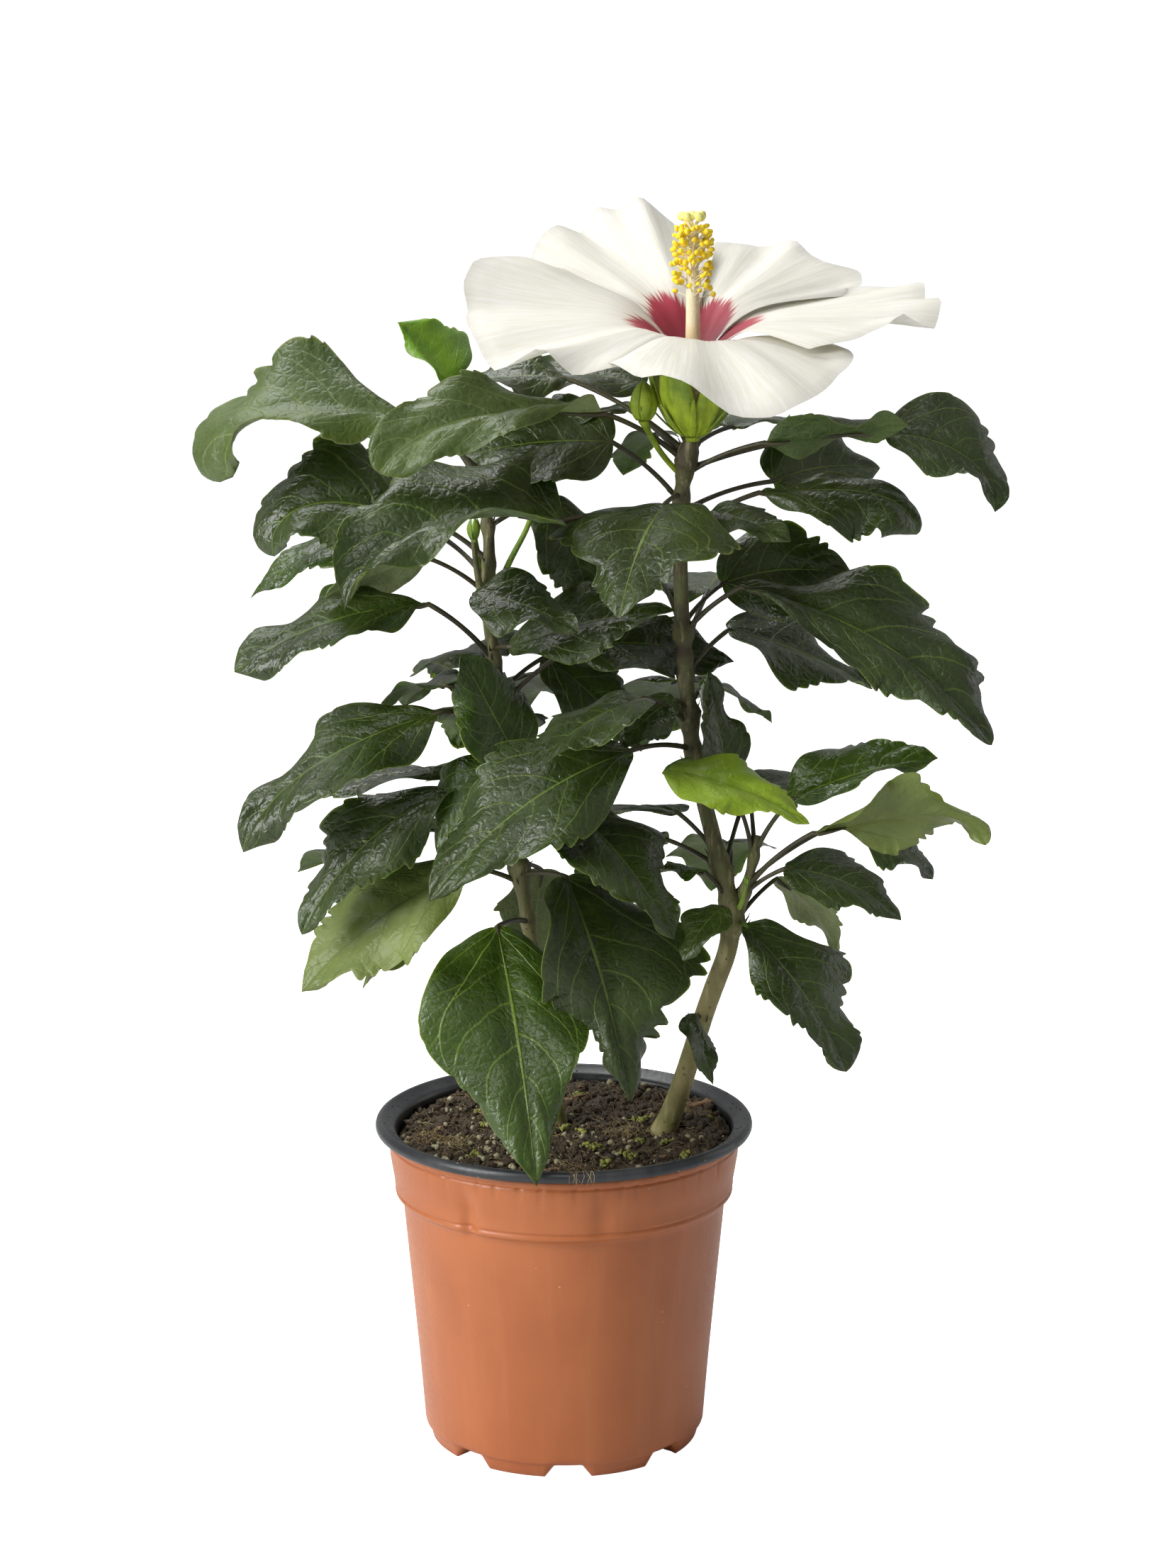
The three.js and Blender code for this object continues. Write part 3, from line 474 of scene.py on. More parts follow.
calyxGreen = softFinish("calyxGreen", {
    "deep": (108, 134, 18), "light": (168, 190, 42), "rough": 0.42, "patch": 110.0, "streak": 0.6})
freshGreen = softFinish("freshGreen", {
    "deep": (96, 130, 34), "light": (142, 172, 60), "rough": 0.38, "patch": 90.0, "streak": 0.4})
print("finishes ready")

# mesh helpers


def finishPiece(bm, name, materials, nodes):
    bm.transform(Matrix.Scale(mm, 4))
    mesh = bpy.data.meshes.new(name)
    bm.to_mesh(mesh)
    bm.free()
    for material in materials:
        mesh.materials.append(material)
    mesh.shade_smooth()
    piece = bpy.data.objects.new(name, mesh)
    scene.collection.objects.link(piece)
    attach(piece, "root")
    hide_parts(*nodes)


def direction(turn, rise):  # a unit vector at a turn about Z and a rise above the level, in degrees
    t, r = np.radians(turn), np.radians(rise)
    return np.stack(np.broadcast_arrays(np.cos(t) * np.cos(r), np.sin(t) * np.cos(r), np.sin(r)), -1)


def smoothStep(value, low, high):
    share = np.clip((np.asarray(value, float) - low) / (high - low), 0, 1)
    return share * share * (3 - 2 * share)


def tube(bm, path, radii, sides, material=0, relief=None):
    # a grid rolled round its path, closed along the seam and at both ends; relief(angle, step) scales a ring
    path = np.asarray(path, float)
    steps = len(path) - 1
    ways = np.gradient(path, axis=0)
    ways /= np.linalg.norm(ways, axis=1)[:, None]
    spread = np.cross(ways[0], (0, 0, 1) if abs(ways[0][2]) < 0.8 else (1, 0, 0))
    frames = []
    for way in ways:  # carried along the path without twist
        spread = spread - way * spread.dot(way)
        spread /= np.linalg.norm(spread)
        frames.append((spread, np.cross(way, spread)))
    made = bmesh.ops.create_grid(bm, x_segments=sides, y_segments=steps, size=1)
    for vertex in made["verts"]:
        turn = math.pi * (vertex.co.x + 1)
        step = round((vertex.co.y + 1) / 2 * steps)
        radius = radii[step] * (relief(turn, step) if relief else 1)
        wide, deep = frames[step]
        vertex.co = path[step] + radius * (math.cos(turn) * wide + math.sin(turn) * deep)
    faces = {face for vertex in made["verts"] for face in vertex.link_faces}
    rings = [made["verts"][: sides + 1], made["verts"][-sides - 1:]]
    for ring in rings:
        faces.add(bm.faces.new(ring[:-1]))
    for face in faces:
        face.material_index = material
    bmesh.ops.remove_doubles(bm, verts=made["verts"], dist=1e-4)
    bmesh.ops.recalc_face_normals(bm, faces=[face for face in faces if face.is_valid])


def arched(start, knee, end, marks):  # places along a curve bent towards its knee
    share = np.linspace(0, 1, marks)[:, None]
    return start * (1 - share) ** 2 + knee * 2 * share * (1 - share) + end * share ** 2


def softened(values, reach):  # evenly spaced values, averaged over their neighbours
    weights = np.hanning(2 * reach + 3)
    return np.convolve(np.pad(values, reach + 1, "edge"), weights / weights.sum(), "valid")


def addLeaflet(bm, place, rows, columns, thickness):
    # a thin closed leaflet: place(t, across) gives its middle surface and its outward way
    whole = []
    for side in (1, -1):
        made = bmesh.ops.create_grid(bm, x_segments=columns, y_segments=rows, size=1)["verts"]
        for vertex in made:
            across, t = vertex.co.x, (vertex.co.y + 1) / 2
            spot, way = place(t, across)
            swell = min(1, 3 * (1 - abs(across))) * min(1, 8 * t, 8 * (1 - t))
            vertex.co = spot + way * side * 0.5 * thickness * swell
        if side < 0:
            bmesh.ops.reverse_faces(bm, faces=facesOf(made))
        whole.extend(made)
    bmesh.ops.remove_doubles(bm, verts=whole, dist=1e-4)


def facesOf(verts):
    return list({face for vertex in verts for face in vertex.link_faces})


def sheetMaps(bm):  # where a place lies on its own blade, and a second map that gives each side of each sheet a cell of its own
    return [bm.loops.layers.uv.new("blade"), bm.loops.layers.uv.new("OFBake")]


def addSheetSide(bm, maps, size, surface, cell, cells, flip):
    # one side of a closed sheet: surface(x, y) bends a flat grid, and gives where each place lies on the maps
    made = bmesh.ops.create_grid(bm, x_segments=size[1], y_segments=size[0], size=1)["verts"]
    flat = np.array([vertex.co for vertex in made], float)
    spots, across, along, reach = surface(flat[:, 0], flat[:, 1])
    for vertex, spot in zip(made, spots):
        vertex.co = spot
    where = {vertex: values for vertex, *values in zip(made, across, along, reach)}
    left, low = cell % cells / cells, cell // cells / cells
    faces = facesOf(made)
    for face in faces:
        for loop in face.loops:
            a, b, c = where[loop.vert]
            loop[maps[0]].uv = (a / 2 + 0.5, c)
            loop[maps[1]].uv = (left + (0.5 + 0.45 * a) / cells, low + (0.04 + 0.92 * b) / cells)
    if flip:
        bmesh.ops.reverse_faces(bm, faces=faces)
    return made, faces


# stems and the leaf rule
# the same rows of joints, leaf rows and seeds as the plant's plain model has, in millimetres

stems = {
    "right": [
        (34, 4, 106.3, 4.6), (37, 2, 113, 3.8), (41.5, -1, 128, 3.5), (48.5, -5, 154, 3.3),
        (59, -5, 182, 3.3), (54.5, -3, 199, 2.9), (49.5, 0, 218, 2.8), (43.5, 2, 242, 2.7),
        (41, 3, 271, 2.6), (39.5, 3, 295, 2.5), (39, 2, 325, 2.4), (40.5, 0, 341, 2.2), (43, -4, 350, 2.1)],
    "left": [
        (-2, 17, 106.3, 3.3), (-3.5, 14, 114, 2.7), (-7, 7, 150, 2.5), (-12, 1, 182, 2.4),
        (-16.5, 1, 210, 2.3), (-19, 2, 250, 2.1), (-24, 2, 277, 2.1), (-26, 3, 296, 2.3),
        (-24, 6, 311, 2.0), (-27, 9, 330, 1.5), (-31, 12, 346, 1.1)],
    "rightShoot": [(58, -5, 183, 2.2), (63, -4, 198, 1.7), (66, -3, 214, 1.1)],
    "leftShoot": [(-23.5, 2, 278, 1.6), (-28, 0, 296, 1.3), (-30, -1, 314, 0.8)],
}
leafShape = {"peak": 0.36, "taper": 1.05, "marks": 24, "heel": 0.45}
leafHabit = {
    "wide": 0.62, "fold": (14, 14), "curl": -30, "roll": 0, "hook": 0, "lobe": 0.15,
    "wave": 2, "waves": 1.5, "tone": "dark", "stalkTone": 0,
}
behind = {  # the rule for the leaves at the back: most pairs are a least value and how far a draw adds to it
    "around": (90, 150), "tries": 14, "retry": 8, "rise": (15, 30), "up": (0.15, 0.7), "stalk": (18, 14),
    "swing": 30, "nod": (25, 20), "droop": (25, 30), "clearance": 7,
}
stalkShape = {
    "sides": 10, "steps": 14, "arch": 12, "stipule": 3.4,
    "girth": [[0, 0.08, 0.5, 0.88, 1], [1.5, 1.0, 0.85, 0.95, 0.3]],  # radii at shares of its length
}


def leafRow(up, turn, rise, stalk, head, pitch, droop, long, **rest):
    return {"up": up, "turn": turn, "rise": rise, "stalk": stalk, "head": head, "pitch": pitch,
            "droop": droop, "long": long, **rest}


masses = {
    "leaves_right_fork": {"stem": "right", "from": 180, "to": 214, "back": (4, 3, 42, 62), "leaves": [
        leafRow(205, 155, 72, 26, -170, 76, -5, 42, wide=0.5, roll=-55, on="rightShoot"),
        leafRow(208, 95, 50, 24, 25, 30, 10, 34, on="rightShoot"),
        leafRow(207, -15, 58, 24, 5, 24, 22, 52, roll=35, on="rightShoot", tone="green"),
        leafRow(196, -25, 42, 32, -5, 14, 0, 63, hook=75, roll=-50, on="rightShoot", tone="green"),
        leafRow(192, 24, 28, 38, 0, -6, 45, 38, roll=30),
        leafRow(194, -15, 35, 17, -10, 0, 45, 48, roll=25, on="rightShoot"),
        leafRow(184, 45, 30, 24, 5, -32, 40, 36, roll=-30, tone="pale"),
        leafRow(183, -70, 18, 12, -36, -28, 30, 62, wide=0.8, roll=10, stalkTone=1),
        leafRow(183, -120, 40, 14, -140, -28, 30, 24, wide=0.8),
        leafRow(188, -158, 55, 18, -165, 15, 30, 20, tone="green")]},
    "leaves_right_waist": {"stem": "right", "from": 236, "to": 263.7, "back": (4, 5, 50, 70), "leaves": [
        leafRow(256, 60, 35, 14, 20, -20, 25, 30),
        leafRow(256, -120, 30, 11, -150, -16, 40, 27, roll=-40),
        leafRow(243, -132, 8, 31, -161, -14, 38, 86, roll=-38, wide=0.55),
        leafRow(239, -113, 4, 26, -15, -8, 25, 54, roll=15, tone="bright", stalkTone=1)]},
    "leaves_right_middle": {"stem": "right", "from": 264, "to": 288, "back": (4, 8, 50, 75), "leaves": [
        leafRow(282, -26, 28, 23, -13, -8, 15, 98, hook=35, roll=34),
        leafRow(285, 40, 35, 22, 4, 22, 40, 46, roll=60, wide=0.7),
        leafRow(268, 25, 42, 22, 12, -20, 20, 56, roll=25)]},
    "leaves_right_crown": {"stem": "right", "from": 312, "to": 349.5, "back": (5, 13, 55, 78), "leaves": [
        leafRow(336, -20, 24, 31, -8, 8, -8, 48, hook=20, roll=-30, tone="olive"),
        leafRow(338, -6, 5, 56, -8, 16, 20, 56, hook=60, roll=42, wide=0.72),
        leafRow(341, -157, 31, 34, -158, 8, 22, 86, hook=45, roll=-30, fold=(5, 35), tone="olive"),
        leafRow(327, -175, 42, 31, 174, 4, 20, 50, roll=-40, wide=0.75),
        leafRow(344, 158, 28, 50, -174, 8, 25, 40, roll=-20),
        leafRow(346, 118, 30, 36, 165, 14, 20, 44, roll=-20),
        leafRow(345, 42, 18, 21, 60, 6, 20, 40, tone="green"),
        leafRow(322, -156, 2, 43, -154, 12, 48, 90, hook=30, roll=-38),
        leafRow(330, -118, -8, 12, -112, -15, 45, 54, wide=0.85, lobe=0.4),
        leafRow(316, 5, 28, 30, -5, -2, 15, 60, hook=40, roll=22, fold=(40, 10)),
        leafRow(318, -52, 25, 17, -32, 2, 30, 32, roll=20)]},
    "leaves_left_low": {"stem": "left", "from": 180, "to": 215, "back": (4, 21, 60, 80), "leaves": [
        leafRow(183, -118, 8, 22, -74, -37, 30, 94, wide=0.6, tone="green", teeth=0.3, pinch=0.25),
        leafRow(199, -44, 9, 22, -57, -48, 25, 80, wide=0.6, lobe=0.4, pinch=0.3),
        leafRow(212, -37, 34, 26, -40, -22, 35, 62, wide=0.65),
        leafRow(196, -157, 22, 20, -170, -20, 30, 72, roll=-32, wide=0.56, tone="pale"),
        leafRow(200, 143, 20, 16, 178, -38, 22, 66, roll=-15, wide=0.5, tone="pale"),
        leafRow(203, 60, -18, 16, 105, -62, 20, 40, tone="pale")]},
    "leaves_left_waist": {"stem": "left", "from": 228, "to": 267.7, "back": (4, 34, 50, 72), "leaves": [
        leafRow(253, -146, 12, 27, -167, -12, 30, 84, hook=35, roll=-28, wide=0.5),
        leafRow(243, -70, -10, 9, -162, 62, 0, 42, roll=-60, wide=0.62, tone="green"),
        leafRow(240, -98, 4, 12, -165, -42, 20, 38, roll=-50, wide=0.7, tone="green"),
        leafRow(232, -149, 2, 19, -165, -16, 50, 76, roll=-25, wide=0.5),
        leafRow(238, 140, -12, 22, -180, -4, 20, 70, wide=0.36),
        leafRow(262, 47, 24, 24, -8, -34, 20, 46, roll=35),
        leafRow(258, 18, 36, 33, 13, 4, 25, 56, roll=28)]},
    "leaves_left_crown": {"stem": "left", "from": 268, "to": 346, "back": (4, 55, 55, 80), "leaves": [
        leafRow(273, -155, 42, 32, -166, 2, 38, 70, roll=-28, wide=0.56),
        leafRow(277, -59, 14, 12, -9, 24, 20, 58, roll=35, wide=0.5),
        leafRow(292, -104, 22, 18, -24, 0, 30, 40, roll=30),
        leafRow(306, 174, 26, 22, -170, 32, 60, 64, roll=-30, wide=0.6),
        leafRow(300, 132, 28, 26, -170, 14, 60, 72, roll=-12, wide=0.48, tone="green"),
        leafRow(296, -152, 32, 27, -174, -12, 20, 36, roll=45, tone="pale"),
        leafRow(318, 16, 22, 22, -32, -50, 30, 42, roll=30),
        leafRow(335, -149, 45, 30, -173, 2, -8, 90, hook=140, roll=16, wide=0.56, fold=(-5, 58),
                tone="olive"),
        leafRow(345, -174, 62, 24, -168, 48, 0, 32, wide=0.95, roll=-68, tone="bright", stalkTone=1)]},
}
sprig = leafRow(150, -114, 18, 14, -38, -54, 20, 25, wide=0.55)


def stemAt(name, height):  # place and radius of a stem at a height
    joints = np.array(stems[name], float)
    return [np.interp(height, joints[:, 2], joints[:, column]) for column in range(4)]


def halfWidth(leaf, t):
    peak, taper = leaf.get("peak", leafShape["peak"]), leaf.get("taper", leafShape["taper"])
    rise = taper * peak / (1 - peak)
    outline = (t / peak) ** rise * ((1 - t) / (1 - peak)) ** taper
    lobes = 1 + leaf["lobe"] * (bump(t, 0.4, 0.13) - 0.7 * bump(t, 0.66, 0.13))
    return 0.5 * leaf["long"] * leaf["wide"] * outline * lobes


def bump(t, middle, spread):
    return np.exp(-(((t - middle) / spread) ** 2))


def ahead(leaf, t):  # the way a midrib runs at t: it droops evenly, and a hook bends mostly its tip
    hook = leaf["hook"] * t ** leaf.get("hookPower", 4)
    return direction(leaf["head"], leaf["pitch"] - leaf["droop"] * t - hook)


def midrib(leaf, base):
    marks = leafShape["marks"]
    steps = ahead(leaf, (np.arange(marks) + 0.5) / marks) * leaf["long"] / marks
    return np.vstack([base, base + np.cumsum(steps, axis=0)])


def station(leaf, spine, t, roll):  # places on the midrib with their own axes: along, left and up
    marks = leafShape["marks"]
    at = np.stack([np.interp(t * marks, np.arange(marks + 1), spine[:, axis]) for axis in range(3)], -1)
    along = ahead(leaf, t)
    level = direction(leaf["head"] + 90, 0 * t)
    upright = np.cross(along, level)
    cosine, sine = np.cos(np.radians(roll))[:, None], np.sin(np.radians(roll))[:, None]
    return at, along, level * cosine + upright * sine, upright * cosine - level * sine


def bladePoints(leaf, spine, t, across, lift=0, width=None, push=0):
    roll = leaf["roll"] + leaf.get("twist", 0) * t ** leaf.get("twistPower", 1)
    at, along, left, up = station(leaf, spine, t, roll)
    u = np.abs(across)
    width = halfWidth(leaf, t) if width is None else width
    width = width * np.where(across > 0, *leaf.get("sides", (1, 1)))
    folds = [low * (1 - t) + high * t for low, high in zip(leaf["fold"], leaf.get("foldTip", leaf["fold"]))]
    fold = np.radians(np.where(across > 0, *folds))
    bend = math.radians(leaf["curl"])
    out = width * (np.sin(fold + bend * u) - np.sin(fold)) / bend
    rise = width * (np.cos(fold) - np.cos(fold + bend * u)) / bend
    beat = 2 * math.pi * leaf["waves"] * t + leaf["phase"] + 2 * np.sign(across)
    ripple = leaf["wave"] * u * u * np.sin(beat) * np.minimum(1, np.minimum(4 * t, 4 * (1 - t)))
    heel = leafShape["heel"] * halfWidth(leaf, t) * u * u * (1 - t) ** 3
    forward = 0.1 * leaf["long"] * leaf["lobe"] * bump(t, 0.45, 0.15) * u - heel + push
    sideways = left * (np.sign(across) * out)[:, None]
    return at + sideways + up * (rise + ripple + lift)[:, None] + along * forward[:, None]


def seeded(seed):  # the plain model's own generator, so that both grow the same leaves
    state = [seed]

    def draw():
        state[0] = (state[0] * 1664525 + 1013904223) % 4294967296
        return state[0] / 4294967296
    return draw


def grownLeaf(row, stem, phase):
    leaf = {**leafHabit, "phase": phase, **row}
    root = np.array(stemAt(leaf.get("on", stem), leaf["up"])[:3])
    base = root + direction(leaf["turn"], leaf["rise"]) * leaf["stalk"]
    return {"leaf": leaf, "stem": stem, "root": root, "base": base, "spine": midrib(leaf, base)}


def feelers(plant):  # points over a blade and its stalk, which other leaves keep clear of
    t, across = [grid.ravel() for grid in np.meshgrid(np.arange(0.05, 1, 0.15), [-0.9, -0.45, 0, 0.45, 0.9])]
    stalkSpots = [plant["root"] + (plant["base"] - plant["root"]) * share for share in (0.55, 0.75, 0.95)]
    return np.array(stalkSpots), bladePoints(plant["leaf"], plant["spine"], t, across)


def backRow(mass, number, attempt, draw):  # one try at a leaf behind the stems
    count, seed, shortest, longest = mass["back"]

    def drawn(key):
        low, more = behind[key]
        return low + more * draw()

    middle, spread = behind["around"]
    turn = middle + spread * (number + draw() - count / 2) / count + behind["retry"] * attempt
    rise = drawn("rise")
    up = mass["from"] + (mass["to"] - mass["from"]) * drawn("up")
    stalk = drawn("stalk")
    head = turn + behind["swing"] * (draw() - 0.5)
    pitch = rise - drawn("nod")
    droop = drawn("droop")
    long = shortest + (longest - shortest) * draw()
    return leafRow(up, turn, rise, stalk, head, pitch, droop, long, roll=behind["swing"] * (draw() - 0.5))


def growLeaves():
    grown, taken = {}, []
    for name, mass in masses.items():
        draw = seeded(mass["back"][1])
        grown[name] = [grownLeaf(row, mass["stem"], 6 * draw()) for row in mass["leaves"]]
        for plant in grown[name]:
            taken.extend(feelers(plant))
    for name, mass in masses.items():
        draw = seeded(mass["back"][1] + 100)
        for number in range(mass["back"][0]):
            for attempt in range(behind["tries"]):
                plant = grownLeaf(backRow(mass, number, attempt, draw), mass["stem"], 6 * draw())
                stalkSpots, bladeSpots = feelers(plant)
                apart = np.linalg.norm(bladeSpots[:, None] - np.vstack(taken)[None], axis=2).min()
                if apart > behind["clearance"]:
                    grown[name].append(plant)
                    taken.extend((stalkSpots, bladeSpots))
                    break
    return grown


dressed = {"peak": 0.42, "taper": 0.88}  # the outline of a dressed leaf is rounder than the plain model's
touches = {  # what single leaves have besides, by their number in their mass
    "leaves_right_fork": {
        1: {"long": 36, "pitch": 12, "wave": 3},
        2: {"wide": 0.5, "wave": 3, "sides": (1.25, 0.4), "pitch": 26},
        3: {"wide": 0.42, "peak": 0.6, "taper": 0.6, "hook": 90, "wave": 3, "tone": "pale",
            "under": "pale"},
        4: {"stalk": 50, "peak": 0.55, "pitch": -12},
        5: {"long": 44},
        7: {"stalk": 7, "peak": 0.56, "taper": 0.6, "wide": 0.54, "lobe": 0.2, "pitch": -32, "wave": 3,
            "sides": (1.35, 0.85), "pinch": 0.35}},
    "leaves_right_waist": {
        2: {"wide": 0.48, "peak": 0.46, "wave": 3},
        3: {"pitch": -5, "long": 52, "tone": "lime"}},
    "leaves_right_middle": {
        0: {"rise": 40, "stalk": 28, "head": -15, "pitch": -9, "droop": 40, "hook": 6, "long": 101,
            "peak": 0.56, "taper": 0.62, "wide": 0.48, "sides": (1.02, 0.62), "fold": (20, 8), "roll": 25,
            "wave": 2.5, "waves": 2.2},
        2: {"pitch": -14}},
    "leaves_right_crown": {
        0: {"wide": 0.66, "peak": 0.55, "wave": 5, "waves": 1.3, "tone": "dark"},
        1: {"rise": 11, "stalk": 69, "long": 49, "pitch": 2, "droop": 60, "hook": 40, "roll": 42,
            "sides": (1.05, 0.6)},
        2: {"roll": -3, "twist": -44, "long": 84, "wide": 0.5, "peak": 0.66, "taper": 0.52, "wave": 3,
            "waves": 1.1, "fold": (50, 30), "foldTip": (-5, 30), "sides": (0.75, 0.8)},
        7: {"roll": -8, "fold": (22, 48), "peak": 0.38, "taper": 1.2, "wave": 3, "pitch": 15, "hook": 45,
            "sides": (0.65, 1)},
        9: {"wave": 3, "peak": 0.7, "taper": 0.42, "pitch": 5, "droop": 5, "hook": 90, "hookPower": 4,
            "fold": (10, 0), "roll": 30, "sides": (0.5, 1.05)},
        11: {"turn": 25, "rise": 14, "stalk": 36, "head": 25, "pitch": 18, "droop": 30, "long": 42,
             "wide": 0.85, "roll": 48},
        12: {"turn": 118, "head": 112, "long": 36},
        13: {"turn": 152, "head": 150, "long": 40}},
    "leaves_left_low": {
        0: {"peak": 0.43, "taper": 0.95, "wide": 0.57, "head": -76, "sides": (0.85, 1.12)},
        1: {"peak": 0.42, "sides": (1.3, 0.7)},
        3: {"peak": 0.5, "wave": 3}},
    "leaves_left_waist": {
        0: {"peak": 0.52, "taper": 0.7, "wave": 3, "sides": (0.9, 0.65)},
        1: {"wide": 0.8},
        3: {"wide": 0.36, "peak": 0.55, "taper": 0.7, "roll": -40},
        10: {"head": 110, "long": 48}},
    "leaves_left_crown": {
        0: {"peak": 0.62, "taper": 0.7, "wide": 0.5, "roll": -20},
        3: {"peak": 0.58, "taper": 0.6, "hook": 130, "hookPower": 3.5, "droop": 4, "pitch": 18, "long": 68,
            "rise": 36, "fold": (0, 50), "foldTip": (10, 20)},
        7: {"peak": 0.7, "taper": 0.5, "hook": 150, "hookPower": 4.2, "droop": -12, "long": 80, "wide": 0.54,
            "roll": -4, "twist": -60, "twistPower": 3, "fold": (-5, 62), "foldTip": (20, -10), "curl": -18,
            "sides": (0.5, 1.4), "wave": 5, "waves": 1.3, "under": "pale", "tone": "olive"},
        8: {"rise": 71, "stalk": 23, "long": 26, "head": 170, "roll": -26, "wide": 0.98,
            "sides": (0.35, 1.85)}},
}


def dress(plant, touch):
    leaf = {**plant["leaf"], **dressed, **touch}
    base = plant["root"] + direction(leaf["turn"], leaf["rise"]) * leaf["stalk"]
    plant.update(leaf=leaf, base=base, spine=midrib(leaf, base))


grown = growLeaves()
for massName, plants in grown.items():
    for number, plant in enumerate(plants):
        dress(plant, touches.get(massName, {}).get(number, {}))
print("leaves grown", {name: len(plants) for name, plants in grown.items()})

# leaves

bladeDetail = {
    "large": (96, 22), "small": (60, 16), "smallLength": 45,  # steps along and across
    "thickness": 0.45, "quilt": 0.010, "groove": 0.006, "buckle": 0.03, "firstTooth": 0.33, "lastTooth": 0.96,
    "toothDepth": 0.04, "toothPush": 0.026,
}


def bladeRelief(leaf, t, across):
    # the blade swells between its sunken veins; the same plan as the leafVeins group
    u = np.abs(across)

    def offCurve(reach, power):
        return t - reach * u ** power

    lateral = offCurve(*veinPlan["swept"]) * veinPlan["laterals"] + veinPlan["offset"] * (across > 0)
    inner = offCurve(*veinPlan["inner"])
    phase = np.where(inner > 0, lateral, offCurve(*veinPlan["low"]) * veinPlan["lowers"])
    offLine = np.abs(phase - np.round(phase))
    pillow = np.sin(math.pi * offLine) ** 0.7 * np.where(inner > 0, 1, 0.6)
    pillow = pillow * (1 - bump(u, 0, 0.1)) * (1 - bump(inner, 0, 0.03)) * (1 - u ** 4)
    groove = bump(u, 0, 0.05)
    relief = bladeDetail["quilt"] * pillow - bladeDetail["groove"] * groove
    return leaf["long"] * relief * smoothStep(t, 0, 0.12)


def bladeTeeth(leaf, t, across, wobble):
    first, count = bladeDetail["firstTooth"], 8 if leaf["long"] > 60 else 6
    phase = (t - first) / (bladeDetail["lastTooth"] - first) * count + 0.4 * (across > 0)
    phase = phase + 0.35 * np.sin(2.1 * phase + 6 * wobble[5])
    index = np.floor(phase).astype(int)
    climb = np.clip(phase - index, 0, 1)
    scallop = np.sin(math.pi * climb ** 1.5) ** 0.55
    size = 0.35 + 0.9 * wobble[np.clip(index, 0, 15) + 16 * (across > 0)]
    zone = smoothStep(t, first - 0.06, first + 0.1) * (1 - 0.85 * smoothStep(t, 0.72, 0.92))
    return scallop * size * zone * leaf.get("teeth", 0.75 + 0.5 * wobble[6])


def growBlade(bm, plant, cell, cells, maps, seed):
    leaf = plant["leaf"]
    wobble = np.random.default_rng(seed).random(32)
    whole = []
    for side in (1, -1):

        def surface(x, y, side=side):
            t = (y + 1) / 2
            across = np.sign(x) * np.sin(math.pi / 2 * np.abs(x)) ** 0.9
            u = np.abs(across)
            teeth = bladeTeeth(leaf, t, across, wobble)
            margin = leaf["long"] * u ** 7
            width = halfWidth(leaf, t) * (1 - leaf.get("pinch", 0.14) * bump(t, 0.78, 0.14))
            width = width + bladeDetail["toothDepth"] * (teeth - 0.4) * margin * (t < 0.99)
            push = bladeDetail["toothPush"] * (teeth - 0.3) * margin * smoothStep(t, 0.2, 0.3)
            ends = np.minimum(1, np.minimum(12 * t, 12 * (1 - t)))
            swell = np.minimum(1, 9 * (1 - u)) * ends
            sway = np.sin(9 * t + 6 * wobble[0] + 2 * across)
            sway = sway + 0.7 * np.sin(17 * t + 6 * wobble[1] - 3 * across)
            buckle = bladeDetail["buckle"] * leaf["long"] * (0.7 + 0.8 * wobble[7]) * u * u * ends * sway
            half = side * 0.5 * bladeDetail["thickness"] * swell
            lift = bladeRelief(leaf, t, across) * ends + buckle + half
            spots = bladePoints(leaf, plant["spine"], t, across, lift, np.maximum(width, 0), push)
            return spots, across, t, t

        size = bladeDetail["large" if leaf["long"] > bladeDetail["smallLength"] else "small"]
        made, faces = addSheetSide(bm, maps, size, surface, 2 * cell + (side < 0), cells, side < 0)
        look = leaf["tone"] if side > 0 else leaf.get("under", underside[leaf["tone"]])
        for face in faces:
            face.material_index = leafOrder.index(look)
        whole.extend(made)
    bmesh.ops.remove_doubles(bm, verts=whole, dist=1e-4)


def growStalk(bm, plant):
    leaf, root, base = plant["leaf"], plant["root"], plant["base"]
    knee = root + direction(leaf["turn"], leaf["rise"] + stalkShape["arch"]) * leaf["stalk"] / 2
    along = np.array([0.04, 0.1, 0.18])  # it runs on under the blade
    under = bladePoints(leaf, plant["spine"], along, np.zeros(3), np.array([-0.8, -1.0, -0.8]))
    path = np.vstack([arched(root, knee, base, stalkShape["steps"] + 1), under])
    size = 0.75 + 0.25 * min(1, leaf["long"] / 70)
    radii = np.interp(np.linspace(0, 1, len(path)), *stalkShape["girth"])
    tube(bm, path, size * radii, stalkShape["sides"], leaf["stalkTone"])
    girth = stemAt(leaf.get("on", plant["stem"]), leaf["up"])[3]
    for side in (-1, 1):  # the pair of needle-like stipules at the foot of the stalk
        start = root + direction(leaf["turn"] + 50 * side, 0) * girth * 0.9
        needle = direction(leaf["turn"] + 35 * side, leaf["rise"] + 22) * stalkShape["stipule"]
        curl = np.array((0, 0, 0.25 * stalkShape["stipule"]))
        tube(bm, [start, start + 0.35 * needle, start + 0.7 * needle + 0.3 * curl, start + needle + curl],
             [0.42, 0.34, 0.24, 0.07], 6, leaf["stalkTone"])


def makeFoliage(name):
    short = name.replace("leaves_", "")
    blades, stalks = bmesh.new(), bmesh.new()
    maps = sheetMaps(blades)
    cells = math.ceil(math.sqrt(2 * len(grown[name])))
    for cell, plant in enumerate(grown[name]):
        growBlade(blades, plant, cell, cells, maps, 100 * len(name) + cell)
        growStalk(stalks, plant)
    finishPiece(blades, "blades_" + short, leafMaterials, [name])
    finishPiece(stalks, "stalks_" + short, stalkMaterials, [name])


for massName in masses:
    makeFoliage(massName)
print("foliage ready")

# stems

